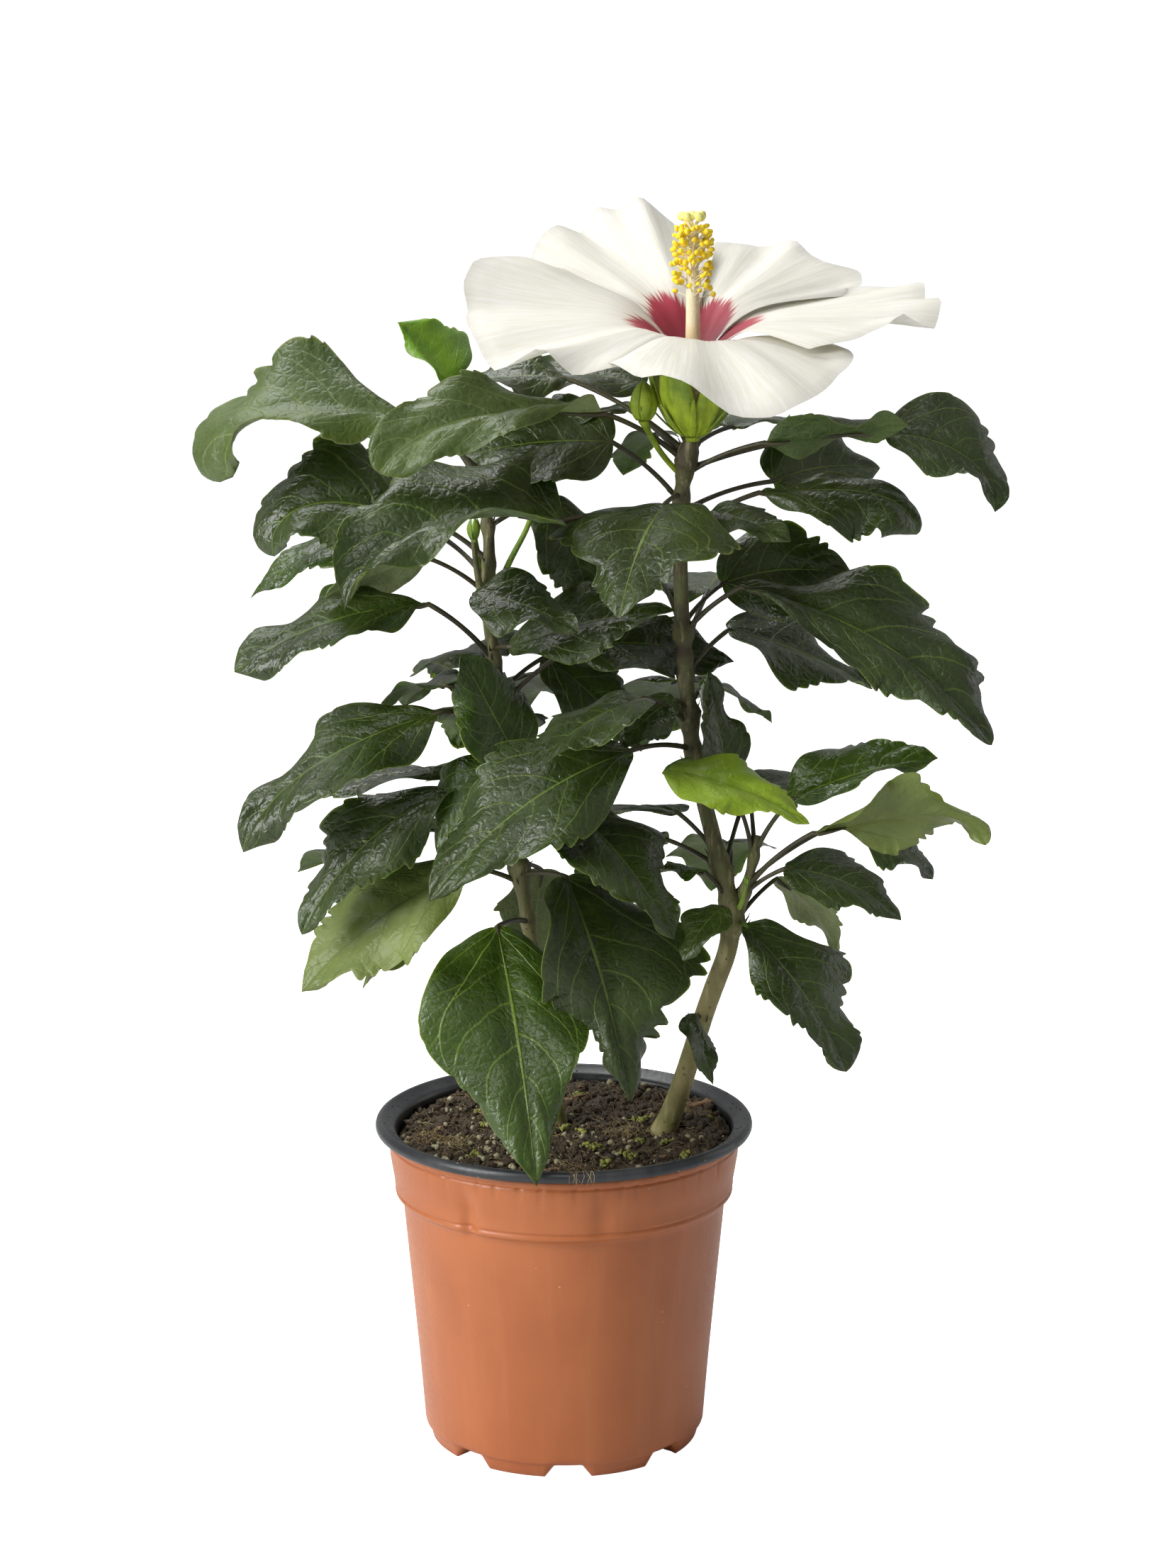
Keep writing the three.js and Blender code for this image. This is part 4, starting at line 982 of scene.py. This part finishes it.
stemDetail = {"step": 1.4, "sides": 26, "smooth": 9, "ridge": 0.035, "knuckle": 0.26, "knuckleLength": 2.2}


def stemPath(name):
    low, high = stems[name][0][2], stems[name][-1][2]
    heights = np.linspace(low, high, int((high - low) / stemDetail["step"]))
    path = np.stack(stemAt(name, heights), -1)
    reach = stemDetail["smooth"]
    padded = np.pad(path, ((reach, reach), (0, 0)), "edge")
    even = np.ones(2 * reach + 1) / (2 * reach + 1)
    smooth = np.stack([np.convolve(values, even, "valid") for values in padded.T], -1)
    fromEnd = np.minimum(np.arange(len(path)), np.arange(len(path))[::-1])
    blend = np.minimum(1, fromEnd / reach)[:, None]
    return smooth * blend + path * (1 - blend)


def stemInto(bm, name, knots, grain):
    path = stemPath(name)
    heights = path[:, 2]
    swell = sum(bump(heights, knot, stemDetail["knuckleLength"]) for knot in knots)
    radii = path[:, 3] * (1 + stemDetail["knuckle"] * swell)

    def relief(turn, step):
        spot = Vector((3 * math.cos(turn), 3 * math.sin(turn), heights[step] * 0.06 + grain))
        fine = Vector((7 * math.cos(turn), 7 * math.sin(turn), heights[step] * 0.5 + grain))
        return 1 + stemDetail["ridge"] * (noise.noise(spot) + 0.6 * noise.noise(fine))
    tube(bm, path[:, :3], radii, stemDetail["sides"], 0, relief)


def makeStems():
    for stem, shoot, nodes in (
            ("right", "rightShoot", ["stem_right", "bough_right_low", "bough_right_high"]),
            ("left", "leftShoot", ["stem_left", "bough_left_low"])):
        bm = bmesh.new()
        for name in (stem, shoot):
            knots = [plant["leaf"]["up"] for plants in grown.values() for plant in plants
                     if plant["leaf"].get("on", plant["stem"]) == name]
            stemInto(bm, name, knots, len(name))
        finishPiece(bm, "bark_" + stem, [bark], nodes)


freshShoots = {
    "marks": 24, "youngLeaves": 5,
    "shoots": [  # the route of each green side shoot, its radius at the foot and at the tip
        ([(-23, 3, 285), (-26, 5, 290), (-28, 7.5, 296), (-28.4, 8, 304.5), (-30.2, 8, 315)], 1.9, 1.2),
        ([(-24, 5, 292), (-22.2, 8, 297), (-17.8, 8, 307), (-12.1, 8, 317.5), (-8.2, 9, 329.6)], 1.3, 0.8),
        ([(58, -5, 186), (60.5, -8, 192), (62, -9.5, 199)], 1.0, 0.5)],
}


def youngLeaf(end, tip, turn):  # one of the folded leaves at the tip of a shoot
    way, side = direction(turn, 0), direction(turn + 90, 0)

    def place(t, across):
        width = 1.3 * tip * math.sin(math.pi * min(1, 0.2 + 0.8 * t))
        reach = tip * (0.7 + 0.9 * math.sin(math.pi * t))
        return end + way * reach + side * width * across + np.array((0, 0, 6.5 * tip * t - 0.5)), way
    return place


def makeFreshShoots():
    bm = bmesh.new()
    count = freshShoots["youngLeaves"]
    for route, foot, tip in freshShoots["shoots"]:
        corners = np.arange(len(route))
        marks = np.linspace(0, corners[-1], freshShoots["marks"])
        path = np.stack([softened(np.interp(marks, corners, values), 2) for values in zip(*route)], -1)
        tube(bm, path, np.linspace(foot, tip, len(path)), 14)
        for i in range(count):
            addLeaflet(bm, youngLeaf(path[-1], tip, 360 / count * i), 10, 4, 0.4)
    finishPiece(bm, "fresh_shoots", [freshGreen], ["leaves_left_crown"])


def makeSprig():  # the lone small leaf low on the right stem
    blades, stalks = bmesh.new(), bmesh.new()
    plant = grownLeaf(sprig, "right", 0)
    growBlade(blades, plant, 0, 2, sheetMaps(blades), 5)
    growStalk(stalks, plant)
    finishPiece(blades, "blade_sprig", leafMaterials, ["stem_right"])
    finishPiece(stalks, "stalk_sprig", stalkMaterials, ["stem_right"])


makeStems()
makeFreshShoots()
makeSprig()
print("stems ready")

# pot, rim and soil

pot = {
    "segments": 360, "wall": 1.1, "floor": 1.6,
    "outline": [  # radius and height up the outside
        (45.9, 0), (46.5, 0.5), (47.3, 3.6), (47.5, 4.5), (47.9, 5.0), (48.55, 5.3), (48.75, 6.0),
        (48.9, 8.5), (50.6, 29.5), (53.0, 55.7), (55.4, 81.0), (55.7, 85.2), (56.0, 86.6), (56.8, 87.5),
        (57.9, 88.1), (58.35, 88.6), (58.5, 89.2), (58.3, 89.7), (58.0, 90.1), (58.15, 90.5), (58.55, 90.9),
        (58.65, 91.4), (58.5, 91.9), (59.4, 97), (60.2, 102), (60.4, 105.6), (60.45, 106.3), (60.1, 106.6),
        (60.1, 106.9), (60.7, 107.2), (60.95, 107.8), (60.95, 108.6), (60.8, 110)],
    "mouth": (60.2, 110.05), "underRings": (0, 14, 18, 26, 34, 41), "squeezed": 6.5, "sideFrom": 45,
    "dents": [  # turn, height, spread round and up, depth
        (-123, 94.5, 3.0, 6.0, 2.0), (-124.5, 98, 6.5, 5.0, 1.0), (-123.5, 89, 2.0, 2.6, 0.9),
        (-77, 96.5, 3.4, 7.5, 1.1), (-60, 70, 12, 18, 0.35), (-110, 60, 15, 20, 0.3)],
    "sway": (0.12, 40),  # how far out of round the pot is, and which way
    "nicks": [  # turns of the worn nicks along the parting line
        -139, -131, -118, -112, -104, -97, -92.5, -86, -79, -71, -66, -58, -49, -41, -30, 10, 47, 96, 150],
    "nickZone": (105.4, 108), "nickDepth": 0.5, "nickSpread": 0.5,
}
channels = {"count": 8, "firstTurn": -88, "height": 4.3, "bottomWidth": 16, "topWidth": 9.5, "inner": 15}


def spunProfile(profile, segments, closed):
    bm = bmesh.new()
    verts = [bm.verts.new((radius, 0, height)) for radius, height in profile]
    edges = [bm.edges.new(pair) for pair in zip(verts, verts[1:])]
    if closed:
        edges.append(bm.edges.new((verts[-1], verts[0])))
    bmesh.ops.spin(bm, geom=verts + edges, axis=(0, 0, 1), cent=(0, 0, 0), angle=2 * math.pi,
                   steps=segments, use_merge=True)
    bmesh.ops.remove_doubles(bm, verts=bm.verts, dist=1e-4)
    bmesh.ops.recalc_face_normals(bm, faces=bm.faces)
    return bm


def channelRise(x, y):  # how high a drain channel lifts the underside at a place
    radius = math.hypot(x, y)
    if radius < channels["inner"]:
        return 0.0
    pitch = 2 * math.pi / channels["count"]
    turn = math.atan2(y, x) - math.radians(channels["firstTurn"])
    off = abs((turn + pitch / 2) % pitch - pitch / 2) * radius
    low, high = channels["bottomWidth"] / 2, channels["topWidth"] / 2
    share = min(1.0, max(0.0, (low - off) / (low - high)))
    return channels["height"] * share * min(1.0, (radius - channels["inner"]) / 3)


def potSink(turn, z):  # how far dents, nicks and a sway draw the outside in
    sink = 0.0
    for where, height, spreadTurn, spreadUp, depth in pot["dents"]:
        sink += depth * math.exp(-((turn - where) / spreadTurn) ** 2 - ((z - height) / spreadUp) ** 2)
    sway, turned = pot["sway"]
    sink += sway * math.sin(math.radians(2 * turn + turned)) * z / pot["mouth"][1]
    low, high = pot["nickZone"]
    if low < z < high:
        cuts = [math.exp(-((turn - nick) / pot["nickSpread"]) ** 2) for nick in pot["nicks"]]
        sink += pot["nickDepth"] * sum(cuts)
    return sink


def makePot():
    outline = pot["outline"]
    inside = [(radius - pot["wall"], max(height, pot["floor"])) for radius, height in outline[1:]]
    under = [(radius, 0) for radius in pot["underRings"]]
    plate = [(radius, pot["floor"]) for radius in pot["underRings"]]
    profile = under + outline + [pot["mouth"]] + inside[::-1] + plate[::-1]
    bm = spunProfile(profile, pot["segments"], False)
    zone = pot["squeezed"]  # the channels squeeze what lies below this height
    for vertex in bm.verts:
        x, y, z = vertex.co
        rise = channelRise(x, y)
        if rise and z < zone:
            vertex.co.z = rise + z * (zone - rise) / zone
        radius = math.hypot(x, y)
        if radius > pot["sideFrom"]:
            share = 1 - potSink(math.degrees(math.atan2(y, x)), z) / radius
            vertex.co.x *= share
            vertex.co.y *= share
    finishPiece(bm, "pot_shell", [terracotta], ["pot_body"])


rim = {
    "segments": 200,
    "profile": [  # radius and height round its section
        (57.9, 103.2), (58.3, 103.0), (58.6, 103.4), (58.6, 110.4), (64.1, 110.4), (64.7, 110.7),
        (65.0, 111.3), (65.05, 112.1), (64.85, 112.9), (64.4, 113.6), (63.8, 114.0), (63.2, 114.15),
        (62.7, 114.1), (62.3, 113.8), (61.6, 113.3), (60.4, 112.6), (59.5, 112.1), (58.9, 111.8),
        (58.4, 111.3), (58.05, 110.6), (57.9, 109.8)],
    "top": [[58.9, 61.6, 63.2, 64.4], [111.8, 113.3, 114.15, 113.6]],  # heights at radii over its upper side
}


def makeRim():
    bm = spunProfile(rim["profile"], rim["segments"], True)
    finishPiece(bm, "rim_shell", [blackPlastic], ["pot_rim"])


soilDetail = {
    "radius": 57.4, "top": 105.6, "rings": 46, "segments": 150, "lump": 1.0,
    "body": [  # radius and height down the sides and across the bottom
        (57.2, 103.4), (54.6, 98), (52.6, 88), (50.0, 50), (46.5, 12), (40, 7), (0, 7)],
    "crumbs": 2900, "grains": 300, "tufts": 12, "chips": 16, "fibres": 230, "rimCrumbs": 90,
    "mossSpots": [  # place and spread of each moss tuft
        (10, -14, 4.5), (22, -22, 4.5), (27, 16, 4), (-30, -22, 2.5), (0, 8, 3), (36, -12, 3), (14, -30, 3)],
    "tangles": [  # place, spread and how many fibres of each root tangle
        (23, 5, 7, 60), (-46, -6, 8, 60), (-36, -11, 6, 35), (38, 22, 7, 30), (4, -36, 6, 20)],
    "grainSpots": [(-36, -6, 14), (-22, -20, 12), (2, -10, 14)],
    "bigChips": [(49, 27, 15, 4.6, 20), (39, 33, 8, 2.2, 60)],  # place, length, width and turn
    "creepers": {  # pale rootlets that creep over the rim's edge
        "count": 9, "turn": -85, "spread": 9, "reach": [57.5, 59.5, 61.6, 63.4, 65.0, 65.2],
        "level": [110.8, 112.6, 113.8, 114.5, 113.0, 111.2], "girth": [0.18, 0.16, 0.14, 0.14, 0.12, 0.08]},
}


def soilHeight(x, y):
    radius = math.hypot(x, y)
    spot = Vector((x * 0.07, y * 0.07, 3.0))
    fine = Vector((x * 0.33, y * 0.33, 9.0))
    lump = soilDetail["lump"] * (1.3 * noise.noise(spot) + 1.0 * noise.noise(fine))
    bank = 3.2 * smoothStep(y, 5, 52) + 2.4 * smoothStep(x, 20, 54) + 1.6 * smoothStep(radius, 30, 54)
    return soilDetail["top"] + lump + bank - 1.2 * smoothStep(radius, 53, 57.5)


def makeSoil():
    top, count = soilDetail["top"], soilDetail["rings"]
    rings = [(soilDetail["radius"] * i / count, top) for i in range(count + 1)]
    bm = spunProfile(rings + soilDetail["body"], soilDetail["segments"], False)
    for vertex in bm.verts:
        if vertex.co.z > top - 0.01:
            vertex.co.z = float(soilHeight(vertex.co.x, vertex.co.y))
    finishPiece(bm, "soil_bed", [peat], ["soil"])


def scatter(draw, reach=56.0):
    radius, turn = reach * math.sqrt(draw.random()), 2 * math.pi * draw.random()
    return radius * math.cos(turn), radius * math.sin(turn)


def addLump(bm, draw, place, size, flat=0.7, level=1, rough=0.25):
    made = bmesh.ops.create_icosphere(bm, subdivisions=level, radius=size)["verts"]
    turn = 6.3 * draw.random()
    spin = Matrix.Rotation(turn, 4, Vector([draw.random() - 0.5 for axis in range(3)]))
    for vertex in made:
        vertex.co *= 1 + rough * (2 * draw.random() - 1)
        vertex.co.z *= flat
    bmesh.ops.transform(bm, matrix=Matrix.Translation(place) @ spin, verts=made)


def onSoil(x, y, reach=55.5):  # a place held inside the pot
    far = math.hypot(x, y)
    return (x, y) if far < reach else (x * reach / far, y * reach / far)


def makeCrumbs():
    draw = random.Random(41)
    bm = bmesh.new()
    for i in range(soilDetail["crumbs"]):
        x, y = scatter(draw, 56.3)
        size = 0.35 + 1.6 * draw.random() ** 4
        addLump(bm, draw, (x, y, soilHeight(x, y) + 0.3 * size), size, 0.75, 1, 0.5)
    for i in range(soilDetail["rimCrumbs"]):  # a few lie on the rim
        turn, radius = 2 * math.pi * draw.random(), 59.6 + 3.6 * draw.random()
        size = 0.12 + 0.3 * draw.random() ** 2
        height = np.interp(radius, *rim["top"]) + 0.4 * size
        addLump(bm, draw, (radius * math.cos(turn), radius * math.sin(turn), height), size, 0.7, 1, 0.4)
    finishPiece(bm, "soil_crumbs", [peat], ["soil"])


def makeGrains():
    draw = random.Random(43)
    bm = bmesh.new()
    for i in range(soilDetail["grains"]):
        x, y = scatter(draw, 55.5)
        if i % 5 > 1:  # most of them gather in a few places
            middleX, middleY, spread = soilDetail["grainSpots"][i % 3]
            x, y = onSoil(draw.gauss(middleX, spread), draw.gauss(middleY, spread))
        size = 0.35 + 0.95 * draw.random() ** 2.5
        addLump(bm, draw, (x, y, soilHeight(x, y) + 0.6 * size), size, 0.85, 2, 0.16)
    finishPiece(bm, "perlite", [perliteWhite], ["soil"])


def makeMoss():
    draw = random.Random(47)
    bm = bmesh.new()
    spots = soilDetail["mossSpots"] + [(*scatter(draw, 53), 1.8) for i in range(soilDetail["tufts"])]
    for x, y, spread in spots:
        for j in range(int(9 * spread)):
            px, py = onSoil(draw.gauss(x, 0.45 * spread), draw.gauss(y, 0.45 * spread))
            size = 0.35 + 0.6 * draw.random() ** 2
            heap = 0.35 * spread * math.exp(-((px - x) ** 2 + (py - y) ** 2) / spread ** 2)
            height = soilHeight(px, py) + 0.5 * size + heap + 0.5 * draw.random()
            addLump(bm, draw, (px, py, height), size, 0.8, 1, 0.35)
    finishPiece(bm, "moss", [mossGreen], ["soil"])


def makeChips():
    draw = random.Random(53)
    bm = bmesh.new()
    places = soilDetail["bigChips"] + [
        (*scatter(draw, 54), 2.5 + 4 * draw.random(), 0.7 + 1.1 * draw.random(), 360 * draw.random())
        for i in range(soilDetail["chips"])]
    for x, y, long, wide, turn in places:
        made = bmesh.ops.create_grid(bm, x_segments=12, y_segments=5, size=1)["verts"]
        for vertex in made:
            u, v, _ = vertex.co
            ragged = 1 + 0.35 * noise.noise(Vector((u * 3 + x, v * 2, y)))
            warp = 0.45 * noise.noise(Vector((u * 4, v * 5, x)))
            vertex.co = (u * long / 2 * ragged, v * wide / 2 * ragged, warp)
        shell = bmesh.ops.solidify(bm, geom=facesOf(made), thickness=0.16 * wide + 0.25)["geom"]
        whole = set(made) | {item for item in shell if isinstance(item, bmesh.types.BMVert)}
        spin = Matrix.Rotation(math.radians(turn), 4, "Z")
        tilt = Matrix.Rotation(0.3 * (draw.random() - 0.5), 4, "Y")
        lift = Matrix.Translation((x, y, soilHeight(x, y) + 1.0 + 0.12 * wide))
        bmesh.ops.transform(bm, matrix=lift @ spin @ tilt, verts=list(whole))
    bmesh.ops.recalc_face_normals(bm, faces=bm.faces)
    finishPiece(bm, "wood_chips", [chipWood], ["soil"])


def makeRootlets():
    draw = random.Random(59)
    bm = bmesh.new()
    starts = [(*scatter(draw, 54), 0.0) for i in range(soilDetail["fibres"])]
    for x, y, spread, count in soilDetail["tangles"]:
        for i in range(count):
            starts.append((*onSoil(draw.gauss(x, 0.5 * spread), draw.gauss(y, 0.4 * spread)), 1.0))
    for x, y, heap in starts:
        turn, bend = 360 * draw.random(), 70 * (draw.random() - 0.5)
        lift = 0.5 + (0.6 + 1.8 * heap) * draw.random()
        path = []
        for k in range(9):
            path.append((x, y, soilHeight(*onSoil(x, y)) + 0.4 + lift * math.sin(k / 8 * math.pi)))
            way = direction(turn + bend * k / 2 + 40 * (draw.random() - 0.5), 0)
            step = way * (0.4 + 0.8 * draw.random())
            x, y = x + step[0], y + step[1]
        if math.hypot(x, y) < 56.5:
            tube(bm, path, list(np.linspace(0.07 + 0.13 * draw.random(), 0.05, 9)), 5)
    creepers = soilDetail["creepers"]
    for i in range(creepers["count"]):
        turn = creepers["turn"] + creepers["spread"] * (draw.random() - 0.5)
        way, side = direction(turn, 0), direction(turn + 90, 0)
        sway = [0.5 * draw.gauss(0, 1) for k in creepers["reach"]]
        level = creepers["level"][:-1] + [creepers["level"][-1] - draw.random()]
        path = [way * r + side * s + np.array((0, 0, h)) for r, s, h in zip(creepers["reach"], sway, level)]
        tube(bm, path, creepers["girth"], 5)
    finishPiece(bm, "rootlets", [rootFibre], ["soil"])


makePot()
makeRim()
makeSoil()
makeCrumbs()
makeGrains()
makeMoss()
makeChips()
makeRootlets()
print("pot ready")

# bloom

bloom = {
    "throat": (43, -5, 377), "steps": (80, 60), "thickness": 0.6, "claw": 5.5, "long": 75,
    "mouth": 15, "spread": 0.72, "overlap": 1.0, "folds": 1.1,
    "petals": [  # how high its funnel rises, how its fall grows, and the margin as (turn, reach, height)
        {"rim": 9.5, "fall": 1.7, "margin": [
            (-134, 46, 380), (-117, 58, 379), (-107, 64, 375), (-101, 62, 377), (-93, 66, 375),
            (-82, 74, 366), (-72, 76, 365), (-62, 72, 369), (-42, 61, 376), (-28, 58, 380), (-12, 48, 382)]},
        {"rim": 12, "fall": 1.2, "margin": [
            (-38, 46, 381), (-24, 58, 384), (-16, 64, 388), (-10, 69, 393), (-7, 79, 385), (2, 82, 396),
            (6, 77, 393), (12, 79, 400), (22, 71, 398), (34, 62, 396), (48, 52, 394)]},
        {"rim": 14, "fall": 1.2, "margin": [
            (22, 56, 393), (33, 69, 397), (41, 77, 400), (48, 69, 403), (54, 70, 405), (60, 72, 411),
            (68, 66, 408), (80, 61, 410), (100, 50, 406)]},
        {"rim": 14, "fall": 1.15, "margin": [
            (80, 48, 407), (91, 58, 412), (98, 66, 418), (104, 70, 424), (110, 69, 420), (116, 73, 422),
            (121, 70, 412), (128, 73, 416), (137, 70, 412), (146, 66, 405), (164, 54, 400)]},
        {"rim": 13, "fall": 1.35, "margin": [
            (144, 52, 402), (156, 60, 406), (168, 74, 407), (178, 76, 400), (184, 74, 392), (192, 76, 390),
            (204, 77, 384), (217, 80, 377), (225, 70, 386), (234, 67, 376), (243, 54, 379), (254, 44, 380)]}],
}


def petalPoints(petal, number, t, across, lift):
    turns, reaches, heights = np.array(petal["margin"], float).T
    middle = (turns[0] + turns[-1]) / 2
    even = np.linspace(turns[0], turns[-1], 241)
    marks = np.linspace(-1, 1, 241)

    def edge(values, reach):
        return np.interp(across, marks, softened(np.interp(even, turns, values), reach))

    bold = t ** 3
    reach = edge(reaches, 30) * (1 - bold) + edge(reaches, 6) * bold
    height = edge(heights, 36) * (1 - bold) + edge(heights, 5) * bold
    radius = bloom["claw"] + (reach - bloom["claw"]) * t
    opening = bloom["spread"] + (1 - bloom["spread"]) * smoothStep(t, 0, 0.4)
    turn = middle + (even[-1] - even[0]) / 2 * across * opening
    throat = np.array(bloom["throat"], float)
    funnel = petal["rim"] * (1 - np.exp(-((radius / bloom["mouth"]) ** 2)))
    fall = (height - throat[2] - petal["rim"]) * t ** petal["fall"]
    folds = np.sin(9 * across + 2 * number) + 0.6 * np.sin(17 * across + 5 * number)
    folds = bloom["folds"] * t ** 1.6 * folds
    order = -bloom["overlap"] * across * np.minimum(1, 3 * t)
    spots = throat + direction(turn, 0) * radius[:, None]
    spots[:, 2] += funnel + fall + folds * np.minimum(1, 4 * (1 - t) + 0.4) + order + lift
    return spots, radius / bloom["long"]


def makePetals():
    bm = bmesh.new()
    maps = sheetMaps(bm)
    for number, petal in enumerate(bloom["petals"]):
        whole = []
        for side in (1, -1):

            def surface(x, y, number=number, petal=petal, side=side):
                across, t = np.sin(math.pi / 2 * x), np.sin(math.pi / 4 * (y + 1))
                ends = np.minimum(1, np.minimum(10 * t, 14 * (1 - t)))
                swell = np.minimum(1, 9 * (1 - np.abs(across))) * ends
                ribs = np.sin(30 * across + 3 * np.sin(5 * across + number)) * smoothStep(t, 0.1, 0.5) * ends
                lift = 0.12 * ribs + side * 0.5 * bloom["thickness"] * swell
                spots, far = petalPoints(petal, number, t, across, lift)
                return spots, across, t, far

            whole += addSheetSide(bm, maps, bloom["steps"], surface, 2 * number + (side < 0), 4, side > 0)[0]
        bmesh.ops.remove_doubles(bm, verts=whole, dist=1e-4)
    finishPiece(bm, "petals", [petalCream], ["bloom_petals"])


column = {"foot": 376, "top": 418, "footRadius": 2.9, "topRadius": 1.8, "lean": -0.6}
brush = {"count": 125, "from": 394, "to": 415, "reach": (4.2, 8.0), "antherSize": 1.05}
stigmas = {"count": 5, "first": 20, "reach": 4.8, "size": 1.85}


def columnShare(height):
    return (height - column["foot"]) / (column["top"] - column["foot"])


def makeColumn():
    x, y, _ = bloom["throat"]
    bm, anthers, knobs = bmesh.new(), bmesh.new(), bmesh.new()
    heights = np.linspace(column["foot"], column["top"], 30)
    share = columnShare(heights)
    path = np.stack([x + column["lean"] * share, y + 0 * share, heights], -1)
    tube(bm, path, column["footRadius"] + (column["topRadius"] - column["footRadius"]) * share ** 0.6, 20)
    draw = random.Random(7)
    near, far = brush["reach"]
    for i in range(brush["count"]):
        level = (i + draw.random()) / brush["count"]
        height = brush["from"] + (brush["to"] - brush["from"]) * level ** 0.75
        turn = 137.5 * i + 30 * draw.random()
        bulge = 0.35 + 0.65 * math.sin(math.pi * min(1, 0.25 + 0.6 * level))
        reach = near + (far - near) * bulge * (0.8 + 0.3 * draw.random())
        rise = 20 + 40 * draw.random()
        root = np.array((x + column["lean"] * columnShare(height), y, height))
        tip = root + direction(turn, rise) * reach
        middle = (root + tip) / 2 + np.array((0, 0, 0.5))
        tube(bm, [root, middle, tip], [0.28, 0.2, 0.18], 5)
        addLump(anthers, draw, tuple(tip), brush["antherSize"] * (0.85 + 0.3 * draw.random()), 0.75, 2, 0.1)
    top = np.array((x + column["lean"], y, column["top"] - 0.5))
    for i in range(stigmas["count"]):
        turn = 360 / stigmas["count"] * i + stigmas["first"]
        tip = top + direction(turn, 46) * stigmas["reach"] + np.array((0, 0, 0.9))
        tube(bm, [top, top + direction(turn, 65) * 2.2, tip], [0.5, 0.4, 0.4], 7)
        addLump(knobs, draw, tuple(tip + np.array((0, 0, 0.6))), stigmas["size"], 0.75, 3, 0.06)
    finishPiece(bm, "column", [columnCream], ["bloom_column"])
    finishPiece(anthers, "anthers", [antherYellow], ["bloom_column"])
    finishPiece(knobs, "stigmas", [stigmaYellow], ["bloom_column"])


calyx = {
    "foot": 350, "sepals": 5, "firstSepal": -122, "sepalHeight": 28, "sepalSpread": 38,
    "bracts": 7, "firstBract": 12, "bractLength": 10, "bractBow": 10.5,
    "profile": [  # radius and height up the outside
        (2.4, 349.8), (4.6, 351.4), (7.8, 355), (10.6, 360), (12.6, 365), (13.8, 370), (14.4, 374),
        (15.2, 378)],
    "stub": ((348.6, 356), [2.2, 2.5, 3.0, 3.6, 4.2, 4.4]),  # heights and radii of the knob under it
    "tube": ((356, 379), (3.4, 6.0)),  # heights and radii of the petals' tube inside it
}


def makeCalyx():
    x, y, _ = bloom["throat"]
    bm = bmesh.new()
    radii, heights = zip(*calyx["profile"])

    def cup(turn, height, off=0.0):
        radius = np.interp(height, heights, radii) + off
        way = direction(turn, 0)
        return np.array((x, y, height)) + way * radius, way

    def sepal(turn):
        def place(t, across):
            height = calyx["foot"] + calyx["sepalHeight"] * t
            width = calyx["sepalSpread"] * (1 - t ** 3.2) * min(1, 0.8 + t)
            keel = 0.9 * (1 - abs(across)) ** 2 + 0.25 * math.cos(9 * across)
            return cup(turn + width * across, height, keel)
        return place

    def bract(turn, long, bow):
        def place(t, across):
            width = 1.0 * math.sin(math.pi * min(1, 0.15 + 0.85 * t)) + 0.25
            way = direction(turn, 0)
            side = direction(turn + 90, 0)
            radius = 3.6 + bow * t ** 0.8
            middle = np.array((x, y, calyx["foot"] + 0.2 + long * t))
            return middle + way * radius + side * width * across, way
        return place

    for i in range(calyx["sepals"]):
        addLeaflet(bm, sepal(360 / calyx["sepals"] * i + calyx["firstSepal"]), 30, 20, 0.8)
    for i in range(calyx["bracts"]):
        turn = 360 / calyx["bracts"] * i + calyx["firstBract"]
        addLeaflet(bm, bract(turn, calyx["bractLength"] + 2 * (i % 3), calyx["bractBow"] + i % 2), 14, 5, 0.5)
    ends, girth = calyx["stub"]
    tube(bm, [(x, y, z) for z in np.linspace(*ends, len(girth))], girth, 20)
    finishPiece(bm, "calyx", [calyxGreen], ["bloom_calyx"])
    petalTube = bmesh.new()
    ends, girth = calyx["tube"]
    tube(petalTube, [(x, y, z) for z in np.linspace(*ends, 10)], np.linspace(*girth, 10), 28)
    finishPiece(petalTube, "bloom_tube", [columnCream], ["bloom_petals"])


bud = {"up": 336, "at": (26.5, -8, 356), "radius": 4.2, "height": 13, "petals": 5, "bracts": 7}


def makeBud():
    bm = bmesh.new()
    root = np.array(stemAt("right", bud["up"])[:3])
    foot = np.array(bud["at"], float)
    knee = (root + foot) / 2 + np.array((-2, 0, -2))
    marks = np.linspace(0, 1, 12)
    girth = np.interp(marks, [0, 0.1, 0.85, 1], [1.5, 1.0, 1.0, 1.8])
    tube(bm, arched(root, knee, foot, len(marks)), girth, 12)

    def petal(turn):
        def place(t, across):
            radius = bud["radius"] * math.sin(math.pi * min(1, 0.16 + 0.84 * t)) ** 0.7
            radius = max(0.1, radius * (1 + 0.06 * math.cos(3 * across)))
            way = direction(turn + 38 * across, 0)
            return foot + np.array((0, 0, bud["height"] * t)) + way * radius, way
        return place

    def bract(turn):
        way, side = direction(turn, 0), direction(turn + 90, 0)

        def place(t, across):
            width = 0.55 * math.sin(math.pi * min(1, 0.2 + 0.8 * t))
            return foot + way * (2.0 + 3.6 * t) + side * width * across + np.array((0, 0, 0.3 + 5.5 * t)), way
        return place

    for i in range(bud["petals"]):
        addLeaflet(bm, petal(360 / bud["petals"] * i), 18, 8, 0.6)
    for i in range(bud["bracts"]):
        addLeaflet(bm, bract(360 / bud["bracts"] * i), 8, 3, 0.35)
    finishPiece(bm, "bud", [calyxGreen], ["leaves_right_crown"])


makePetals()
makeColumn()
makeCalyx()
makeBud()
print("bloom ready")

for piece in list(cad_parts.values()):
    if not piece.hide_render:
        print("still plain:", piece.name)
